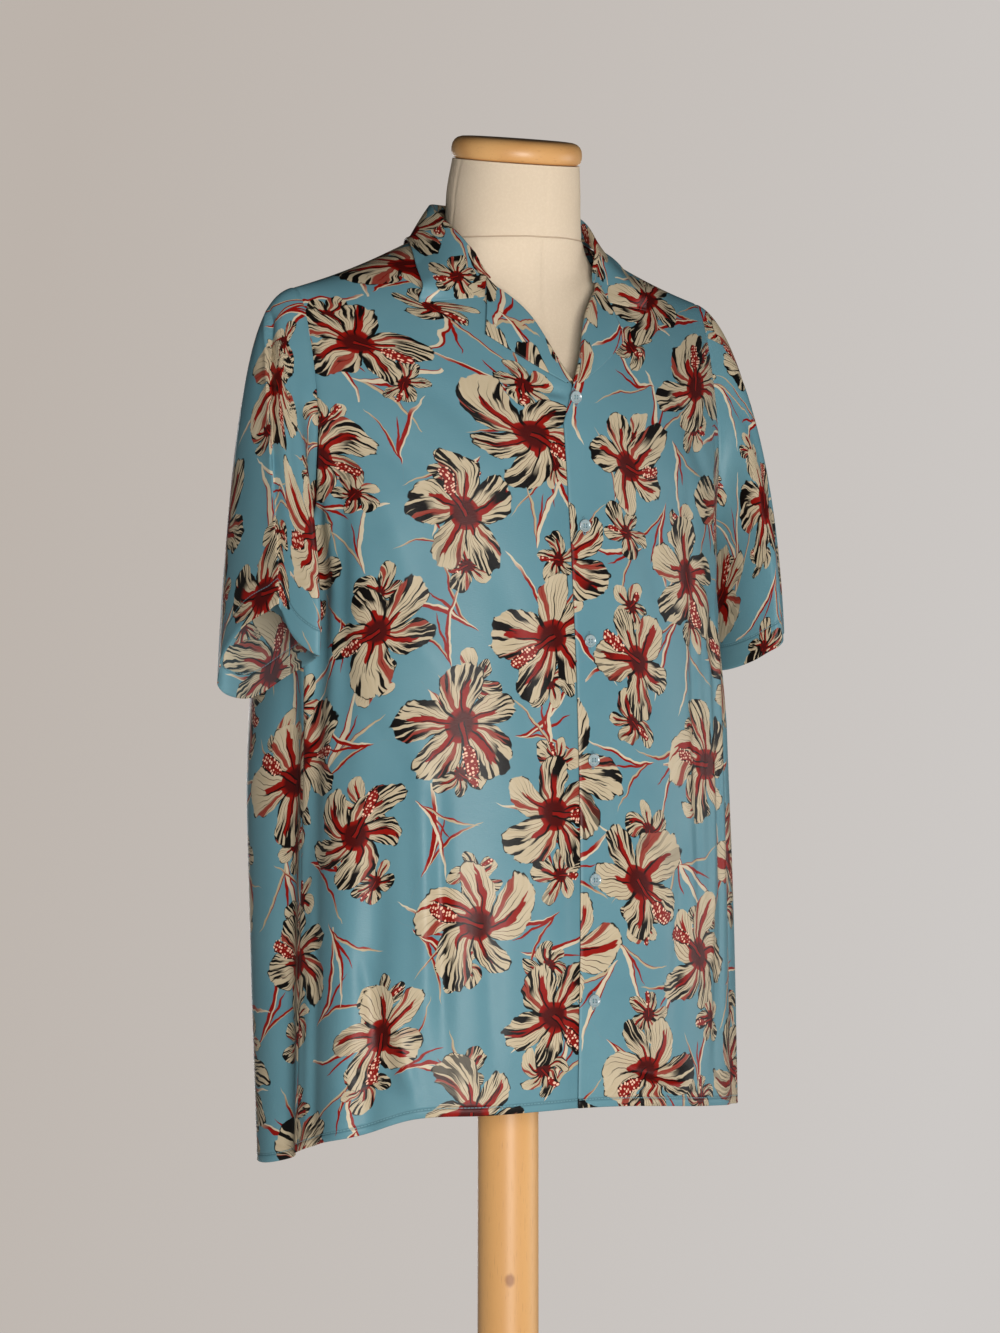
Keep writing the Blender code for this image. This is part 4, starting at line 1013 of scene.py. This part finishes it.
# The right sleeve's front part is pushed back behind a sharp fold, whose edge runs down these places.
PLEAT_COLUMNS = ("along", "around")
PLEAT = ((0.22, -8.0), (0.30, 5.0), (0.38, 14.0), (0.50, 22.0), (0.65, 26.5), (0.85, 31.5), (1.00, 39.0))
PLEAT_DEPTH = 0.0080
PLEAT_WIDTH = 19.0
PLEAT_EDGE = 2.2
PLEAT_FROM = 0.20
PLEAT_GROWS = 0.18
PLEAT_LIP = 0.3
PLEAT_LIP_WIDTH = 7.0
SLEEVE_ROWS = 110


def sleeve_panel(name, shift):
    """From each armhole point a cubic curve (1-t)^3 A + 3(1-t)^2 t B + 3(1-t) t^2 C + t^3 D runs out over the
    shoulder and down to the hem's tilted oval. Folds and creases push it towards the sleeve's middle line."""
    sleeve = dict(zip(SLEEVE_COLUMNS, SLEEVES[name]))
    level = levels()[LOWER_ROWS - 1:]
    angle = side_angle(level)
    side = sleeve["side"]
    fore, aft = (body_point(level, side * angle, front) for front in (True, False))
    start = np.concatenate([fore[::-1], aft[1:-1]])
    start[:, 0] *= side
    count = len(start)
    place = np.linspace(0, 2 * np.pi, count, endpoint=False)
    turn = np.radians(sleeve["turn"])
    wide, thin = sleeve["wide"] * np.sin(place), sleeve["thin"] * np.cos(place)
    hems = [(around + lap, *heights) for lap in (-360, 0, 360) for around, *heights in SLEEVE_HEMS]
    end = np.stack([
        sleeve["out_x"] + thin * np.cos(turn) + wide * np.sin(turn),
        sleeve["fore_y"] - wide * np.cos(turn) + thin * np.sin(turn),
        smooth(hems, SLEEVE_HEM_COLUMNS, name, np.degrees(place)),
    ], axis=-1)
    top = (0.5 + 0.5 * np.cos(place))[:, None]
    over_shoulder = np.array([sleeve["cap"], 0.0, -TOP_DROP])
    leave = start + over_shoulder * top + np.array([UNDER_OUT, 0.0, -UNDER_DROP]) * (1 - top)
    span = np.linalg.norm(end - start, axis=-1, keepdims=True)
    arrive = end + np.array([0.0, 0.0, ARRIVE_RISE]) * span - np.array([ARRIVE_IN, 0.0, 0.0]) * top
    reach = np.linspace(0, 1, SLEEVE_ROWS)[:, None, None]
    t = reach**ROWS_BUNCH
    points = (1 - t) ** 3 * start + 3 * (1 - t) ** 2 * t * leave + 3 * (1 - t) * t**2 * arrive + t**3 * end
    middle = points.mean(axis=1, keepdims=True)
    inward = (middle - points) * np.array([1, 1, 0])
    inward /= np.linalg.norm(inward, axis=-1, keepdims=True)
    bearing = np.degrees(place)[None, :, None]
    for row in SLEEVE_FOLDS:
        fold = dict(zip(SLEEVE_FOLD_COLUMNS, row))
        grow = ease((reach - fold["start"]) / FOLD_GROWS) * (fold["sleeve"] == name)
        points += fold["depth"] * grow * np.exp(-(((bearing - fold["around"]) / fold["width"]) ** 2)) * inward
    for row in SLEEVE_CREASES:
        crease = dict(zip(SLEEVE_CREASE_COLUMNS, row))
        s = np.clip((reach - crease["along"]) / (crease["to_along"] - crease["along"]), 0, 1)
        off = bearing - crease["around"] - (crease["to_around"] - crease["around"]) * s
        off = (off + 180.0) % 360.0 - 180.0
        deep = crease["depth"] * np.sin(np.pi * s) * np.exp(-((off / crease["width"]) ** 2))
        points += deep * (crease["sleeve"] == name) * inward
    if name == "sleeve_right":
        off = (bearing - smooth(PLEAT, PLEAT_COLUMNS, "around", reach) + 180.0) % 360.0 - 180.0
        grow = ease((reach - PLEAT_FROM) / PLEAT_GROWS)
        behind = ease(off / PLEAT_EDGE + 0.5)
        step = behind * np.exp(-((np.maximum(off, 0) / PLEAT_WIDTH) ** 2))
        lip = PLEAT_LIP * np.exp(-((off / PLEAT_LIP_WIDTH) ** 2)) * (off < 0) * (1 - behind)
        points += PLEAT_DEPTH * grow * (step - lip) * inward
    under = count // 2
    points = np.concatenate([points[:, under:], points[:, : under + 1]], axis=1)
    points[..., 0] *= side
    if side > 0:
        points = points[:, ::-1]
    points = points[::-1]
    run, up = steps_along(points, 1), steps_along(points, 0)
    sides = np.minimum(run, run[:, -1:] - run)
    off_seam = np.minimum(sides, up[-1:] - up)
    cut = flat_map(points, points.shape[1] // 2, shift)
    piece = cloth_shell(name, name, points, cut, (run, up - SLEEVE_HEM), near_seam(off_seam))


sleeve_panel("sleeve_right", (0.915, 0.065))
sleeve_panel("sleeve_left", (1.310, 0.034))


# ---------------------------------------------------------------- lapels
# The top of each front edge is turned back along a soft roll and pressed, so that its facing shows. It is
# sewn to the collar along the gorge.
GORGE = (0.0558, 1.4690)
NOTCH = (0.0620, 1.4522)
LAPEL_TIP = (0.0695, 1.4183)
LAPEL_BELLY = 0.002
LAPEL_FOOT = (0.006, 1.377)
LAPEL_FOOT_RISE = 0.004
LAPEL_SWELL = 0.0016
LAPEL_FULLNESS = 0.8
LAPEL_HEM_LIFT = 0.0012
HEM_FRONT_Z = 0.752
NO_STITCH = 1.0                 # a distance far from any stitched line
LAYER = 0.0009
ROLL = 0.0017
LAPEL_ROWS = 72
LAPEL_COLUMNS = 36
ROLL_COLUMNS = 9


def front_y(x, z):
    """y of the front seen straight from before it: m - d sqrt(1 - (x / w)^2) sin q, at the level found from
    z. The folds aren't in it."""
    rise = np.clip((z - shoulder_z(x) + SHOULDER_DROP) / SHOULDER_DROP, 0, 1)
    level = 2 - np.degrees(np.arccos(rise)) / 90.0
    below = np.clip((z - HEM_FRONT_Z) / (shoulder_z(x) - SHOULDER_DROP - HEM_FRONT_Z), 0, 1)
    level = np.where(rise > 0, level, below)
    share = x / section("half_width", level)
    across = section("front_depth", level) * np.sqrt(np.clip(1 - share**2, 0, 1))
    arc = np.radians(90.0) * (2 - np.clip(level, 1.0, 2.0))
    return section("middle_y", level) - across * np.sin(arc)


def front_layer(x, z, lift):
    """Points on the front at x and z, moved out along its normal (dy/dx, -1, dy/dz) by lift."""
    x, z, lift = np.broadcast_arrays(np.asarray(x, float), np.asarray(z, float), np.asarray(lift, float))
    points = np.stack([x, front_y(x, z), z], axis=-1)
    step = 0.001
    slope_x = (front_y(x + step, z) - front_y(x - step, z)) / (2 * step)
    slope_z = (front_y(x, z + step) - front_y(x, z - step)) / (2 * step)
    normal = np.stack([slope_x, -np.ones_like(x), slope_z], axis=-1)
    return points + lift[..., None] * normal / np.linalg.norm(normal, axis=-1, keepdims=True)


def roll_line(z):
    """x of the open neck's roll: spread (z - foot) - bow."""
    return V_SPREAD * (z - V_BOTTOM_Z) - roll_bow(z - V_BOTTOM_Z)


def lapel(name, side, shift):
    """Ruled between the roll and the lower edge, and at the roll carried round by a half circle to behind the
    front's edge. Its height over the front swells by a sine, and its tip and lower edge lie closer."""
    row = np.linspace(0, 1, LAPEL_ROWS)[:, None]
    share = np.concatenate([np.zeros(ROLL_COLUMNS), np.linspace(0, 1, LAPEL_COLUMNS)])[None, :]
    half_turn = np.linspace(np.pi, 0, ROLL_COLUMNS, endpoint=False)
    round_turn = np.concatenate([half_turn, np.zeros(LAPEL_COLUMNS)])[None, :]
    foot_z = V_BOTTOM_Z + LAPEL_FOOT_RISE
    roll_z = foot_z + (GORGE[1] - foot_z) * row
    hem_x = LAPEL_FOOT[0] + (LAPEL_TIP[0] - LAPEL_FOOT[0]) * row
    hem_z = LAPEL_FOOT[1] + (LAPEL_TIP[1] - LAPEL_FOOT[1]) * row - LAPEL_BELLY * np.sin(np.pi * row)
    x = roll_line(roll_z) + (hem_x - roll_line(roll_z)) * share - ROLL * np.sin(round_turn)
    z = roll_z + (hem_z - roll_z) * share
    swell = LAPEL_SWELL * np.sin(np.pi * share) ** LAPEL_FULLNESS + LAPEL_HEM_LIFT * share**2
    lift = CLOTH + LAYER + swell * row - ROLL * (1 - np.cos(round_turn))
    points = front_layer(x, z, lift)
    points[..., 0] *= side
    if side > 0:
        points = points[:, ::-1]
    points = points[::-1]
    run, up = steps_along(points, 1), steps_along(points, 0)
    piece = cloth_shell(name, name, points, (run + shift[0], up + shift[1]), (run, up + NO_STITCH))


lapel("lapel_right", -1, (1.640, 0.120))
lapel("lapel_left", 1, (1.735, 0.060))


# ---------------------------------------------------------------- collar
# A one-piece camp collar: a low stand round the neck, folded over softly at the back and pressed flat on
# the fronts. Its ends are sewn to the lapels as far as the notch, and from there they run free to a point.
COLLAR_COLUMNS = ("along", "fold_x", "fold_y", "fold_z", "edge_x", "edge_y", "edge_z", "sag", "stand")
COLLAR = (
    (0.00, 0.0000, 0.0620, 1.5420, 0.0000, 0.0960, 1.4860, -0.003, 0.0290),
    (0.22, 0.0340, 0.0550, 1.5415, 0.0480, 0.0840, 1.4880, -0.003, 0.0290),
    (0.42, 0.0590, 0.0360, 1.5400, 0.0775, 0.0500, 1.4960, 0.000, 0.0290),
    (0.58, 0.0730, 0.0100, 1.5350, 0.0945, 0.0140, 1.5045, 0.004, 0.0245),
    (0.72, 0.0745, -0.0160, 1.5220, 0.1055, -0.0190, 1.4870, 0.012, 0.0095),
    (0.86, 0.0680, -0.0440, 1.4990, 0.1120, -0.0450, 1.4670, 0.009, 0.0035),
    (1.00, 0.0565, -0.0660, 1.4695, 0.1160, -0.0700, 1.4480, 0.000, 0.0012),
)
FALL_KNEE = 0.30
FALL_EASE = 0.003
FALL_CLEARANCE = 0.0034
TURNS_FROM = 0.80               # the stations, 0 to 1, from which the fall turns at the notch
FLAT_FROM = 0.86                # and from which it lies on the front
FLAT_BELOW = 0.002              # how far under the shoulder line the front is read for it
STAND_GAP = 0.0042
STAND_LEANS = 0.0008
CREST_RISE = 0.0045
TOP_SINKS = 0.003               # how far the stand's top lies below the fold, at most
NOTCH_SHARE = 1 / 3             # of the fall's rows
STAND_LIES_FROM = 0.78
STAND_LIES_OVER = 0.14
LAIN_STAND = 0.0046
LAIN_LIFT = (0.0, -0.0006, 0.0010)
COLLAR_STATIONS = 110
FALL_ROWS = 44
STAND_ROWS = 16
FOLD_ROWS = 10


def push_clear(points, clearance):
    """Moves points out along their own ray until they clear the shoulder, which is a quarter circle once y is
    divided by the depth and z by the shoulder's drop."""
    x, y, z = points[..., 0], points[..., 1], points[..., 2]
    rise = (z - shoulder_z(x) + SHOULDER_DROP) / SHOULDER_DROP
    level = 2 - np.degrees(np.arccos(np.clip(rise, 0, 1))) / 90.0
    middle = section("middle_y", level)
    depth = np.where(y < middle, section("front_depth", level), section("back_depth", level))
    depth = depth * np.sqrt(np.clip(1 - (x / section("half_width", level)) ** 2, 0.04, 1))
    ray = np.hypot((y - middle) / depth, rise)
    wanted = 1 + clearance / (0.5 * (depth + SHOULDER_DROP))
    grow = np.maximum(wanted / np.maximum(ray, 1e-6), 1.0)
    out = points.copy()
    out[..., 1] = middle + (y - middle) * grow
    out[..., 2] = shoulder_z(x) - SHOULDER_DROP + rise * grow * SHOULDER_DROP
    return out


def collar(shift):
    """Each station's line runs straight up the stand, over the fold by a quadratic curve, and down the fall,
    which is a quadratic curve at the back and follows the front at its ends. There the stand lies down flat
    beside the fold."""
    along = np.linspace(0, 1, COLLAR_STATIONS)
    fold = np.stack([smooth(COLLAR, COLLAR_COLUMNS, f"fold_{axis}", along) for axis in "xyz"], axis=-1)
    edge = np.stack([smooth(COLLAR, COLLAR_COLUMNS, f"edge_{axis}", along) for axis in "xyz"], axis=-1)
    share = np.linspace(0, 1, FALL_ROWS)[:, None, None]
    outward = (edge - fold) * np.array([1, 1, 0])
    outward /= np.linalg.norm(outward, axis=-1, keepdims=True)
    sag = np.array([0, 0, 1.0]) * smooth(COLLAR, COLLAR_COLUMNS, "sag", along)[:, None]
    stand = np.array([0, 0, 1.0]) * smooth(COLLAR, COLLAR_COLUMNS, "stand", along)[:, None]
    knee = fold + (edge - fold) * FALL_KNEE + outward * FALL_EASE - sag
    fall = (1 - share) ** 2 * fold + 2 * (1 - share) * share * knee + share**2 * edge
    notch = front_layer(NOTCH[0], NOTCH[1], CLOTH + LAYER)
    to_notch = fold + (notch - fold) * share / NOTCH_SHARE
    from_notch = notch + (edge - notch) * (share - NOTCH_SHARE) / (1 - NOTCH_SHARE)
    bent = np.where(share < NOTCH_SHARE, to_notch, from_notch)
    fall = fall + (bent - fall) * ease((along - TURNS_FROM) / (1 - TURNS_FROM))[None, :, None] ** 2
    below_shoulder = np.minimum(fall[..., 2], shoulder_z(fall[..., 0]) - FLAT_BELOW)
    flat = front_layer(fall[..., 0], below_shoulder, CLOTH + LAYER)
    on_front = ease((along - FLAT_FROM) / (1 - FLAT_FROM))[None, :, None]
    fall = push_clear(fall, FALL_CLEARANCE)
    fall = fall + (flat - fall) * on_front * np.array([0, 1, 0])
    top = fall[0] - outward * STAND_GAP - np.minimum(stand / 3, TOP_SINKS)
    foot = top - outward * STAND_LEANS - stand
    crest = (top + fall[0]) / 2 + np.array([0, 0, CREST_RISE])
    up = np.linspace(0, 1, STAND_ROWS)[:-1, None, None]
    over = np.linspace(0, 1, FOLD_ROWS)[:-1, None, None]
    upright = np.concatenate([
        foot + (top - foot) * up,
        (1 - over) ** 2 * top + 2 * (1 - over) * over * crest + over**2 * fall[0],
    ])
    far = np.linspace(LAIN_STAND, 0, len(upright) + 1)[:-1, None, None]
    lain = fall[0] + np.array(LAIN_LIFT) * np.minimum(4 * far / LAIN_STAND, 1) - outward * far
    lying = ease((along - STAND_LIES_FROM) / STAND_LIES_OVER)[None, :, None]
    points = np.concatenate([upright + (lain - upright) * lying, fall])
    other = points[:, :0:-1].copy()
    other[..., 0] *= -1
    points = np.concatenate([other, points], axis=1)[::-1, ::-1]
    run, rise = steps_along(points, 1), steps_along(points, 0)
    cut = flat_map(points, points.shape[1] // 2, shift)
    piece = cloth_shell("collar", "collar", points, cut, (run, rise + NO_STITCH))


collar((2.210, 0.085))


# ---------------------------------------------------------------- buttons and buttonholes
# Six 11 mm sew-through buttons of pearly polyester with a raised rim and four holes, crossed by blue
# thread. Each closes an upright buttonhole of close stitches in the wearer's left front.
BUTTON_HEIGHTS = (1.365, 1.2535, 1.154, 1.0515, 0.9485, 0.8445)
BUTTON_PROFILE = (
    (0.0, 0.0), (0.0044, 0.0), (0.0051, 0.0004), (0.0055, 0.0010), (0.0056, 0.0016), (0.0054, 0.0021),
    (0.0050, 0.0024), (0.0046, 0.0023), (0.0042, 0.0019), (0.0037, 0.0017), (0.0020, 0.00165),
    (0.0009, 0.00165), (0.0, 0.00165),
)
BUTTON_SIDES = 48
BUTTON_STANDS = 0.0006          # how far a button stands off the front
HOLE_OFFSET = 0.0013
HOLE_RADIUS = 0.00058
HOLE_DEPTH = 0.00170
HOLE_SIDES = 16
THREAD_RADIUS = 0.00030
THREAD_BOW = 0.00055
THREAD_FOOT = 0.0016
THREAD_POINTS = 13
THREAD_SIDES = 8
BUTTONHOLE_HALF = 0.0078
BUTTONHOLE_WIDTH = 0.00125
BUTTONHOLE_THREAD = 0.00042
BUTTONHOLE_BLUNTNESS = 0.55     # below 1 its ends are squarer
BUTTONHOLE_LIFT = 0.00012
BUTTONHOLE_STITCHES = 48
STITCH_RIPPLE = 0.00010

pearl = Finish("button_pearl", 0.16, **{"Coat Weight": 0.5, "Coat Roughness": 0.08, "Subsurface Weight": 0.10,
                                        "Subsurface Scale": 0.002, "IOR": 1.55})
pearl_cloud = pearl.noise(pearl.place(), 380.0, 3.0)
pearl_face = pearl.blend(pearl_cloud, tone(118, 142, 150), tone(176, 190, 192))
pearl.set(pearl.shader, {"Base Color": pearl_face})
# Each button's holes are flat discs in this dark colour, laid on its face: painted shade in place of hollows.
hole_shade = Finish("button_hole_shade", 0.8)
hole_cloud = hole_shade.noise(hole_shade.place(), 900.0)
hole_shade_colour = hole_shade.blend(hole_cloud, tone(28, 40, 46), tone(48, 66, 74))
hole_shade.set(hole_shade.shader, {"Base Color": hole_shade_colour})
thread = Finish("blue_thread", 0.55, **{"Sheen Weight": 0.2})
thread_x, _, thread_z = thread.parts(thread.place())
ply = ((thread_z + thread_x * 0.6) * 9000).maths("SINE") * 0.5 + 0.5
# Painted light and shade of the twist: the one-colour thread is darker and lighter in slanted bands.
thread.set(thread.shader, {"Base Color": thread.blend(ply, tone(58, 104, 120), tone(110, 158, 172))})
thread.relief(ply, 0.0001)


def tube(path, radius, sides):
    """A round tube of quads along a path of points, with its ends drawn in, and its faces."""
    way = np.gradient(path, axis=0)
    way /= np.linalg.norm(way, axis=1, keepdims=True)
    side = np.cross(way, np.array([0.0, 1.0, 0.0]))
    side /= np.maximum(np.linalg.norm(side, axis=1, keepdims=True), 1e-9)
    up = np.cross(side, way)
    a = np.linspace(0, 2 * np.pi, sides, endpoint=False)[None, :, None]
    grid = path[:, None] + radius[:, None, None] * (np.cos(a) * side[:, None] + np.sin(a) * up[:, None])
    return grid.reshape(-1, 3), ring_faces(len(path), sides)


def button(number, height):
    """A turned disc facing -Y, with four holes of painted shade and two threads bowed across them."""
    place = np.array([0.0, float(front_y(np.array(0.0), np.array(height))) - BUTTON_STANDS, height])
    a = np.linspace(0, 2 * np.pi, BUTTON_SIDES, endpoint=False)
    r, h = np.array(BUTTON_PROFILE).T[:, :, None]
    r = np.maximum(r, 0.00005)
    disc = np.stack([r * np.cos(a), -h + 0 * a, r * np.sin(a)], axis=-1)
    # A hole is a flat disc just over the face, given the holes' painted shade.
    ring = np.linspace(0, 2 * np.pi, HOLE_SIDES, endpoint=False)
    hole = np.stack([HOLE_RADIUS * np.cos(ring), 0 * ring - HOLE_DEPTH, HOLE_RADIUS * np.sin(ring)], axis=-1)
    t = np.linspace(-1, 1, THREAD_POINTS)
    bow = -THREAD_FOOT - THREAD_BOW * np.sqrt(np.clip(1 - t**2, 0, 1))
    bits = [(disc.reshape(-1, 3), ring_faces(len(BUTTON_PROFILE), BUTTON_SIDES))]
    for across in (-HOLE_OFFSET, HOLE_OFFSET):
        for up in (-HOLE_OFFSET, HOLE_OFFSET):
            bits.append((np.array([across, 0, up]) + hole, [list(range(HOLE_SIDES))]))
        path = np.stack([across + 0 * t, bow, t * HOLE_OFFSET], axis=-1)
        bits.append(tube(path, np.full(THREAD_POINTS, THREAD_RADIUS), THREAD_SIDES))
    faces, slots, count = [], [], 0
    for (points, bit_faces), slot in zip(bits, (0, 1, 1, 2, 1, 1, 2)):
        faces += [[count + corner for corner in face] for face in bit_faces]
        slots += [slot] * len(bit_faces)
        count += len(points)
    name = f"button_{number}"
    looks = [pearl.material, hole_shade.material, thread.material]
    piece = show(name, np.concatenate([points for points, _ in bits]) + place, faces, looks)
    piece.data.polygons.foreach_set("material_index", np.array(slots, np.int32))
    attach(piece, "root")
    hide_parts(name)


def buttonhole(number, height):
    """Close stitches round an upright slit: the path is a long loop (w cos a, h sin a) whose height over the
    cloth ripples with each stitch."""
    a = np.linspace(0, 2 * np.pi, 4 * BUTTONHOLE_STITCHES + 1)
    x = BUTTONHOLE_WIDTH * np.cos(a)
    z = height + BUTTONHOLE_HALF * np.sign(np.sin(a)) * np.abs(np.sin(a)) ** BUTTONHOLE_BLUNTNESS
    ripple = STITCH_RIPPLE * np.cos(a * BUTTONHOLE_STITCHES)
    path = front_layer(x, z, BUTTONHOLE_LIFT + ripple)
    points, faces = tube(path, BUTTONHOLE_THREAD + ripple, THREAD_SIDES)
    piece = show(f"buttonhole_{number}", points, faces, [thread.material])
    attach(piece, "root")


for number, height in enumerate(BUTTON_HEIGHTS, start=1):
    button(number, height)
    buttonhole(number, height)
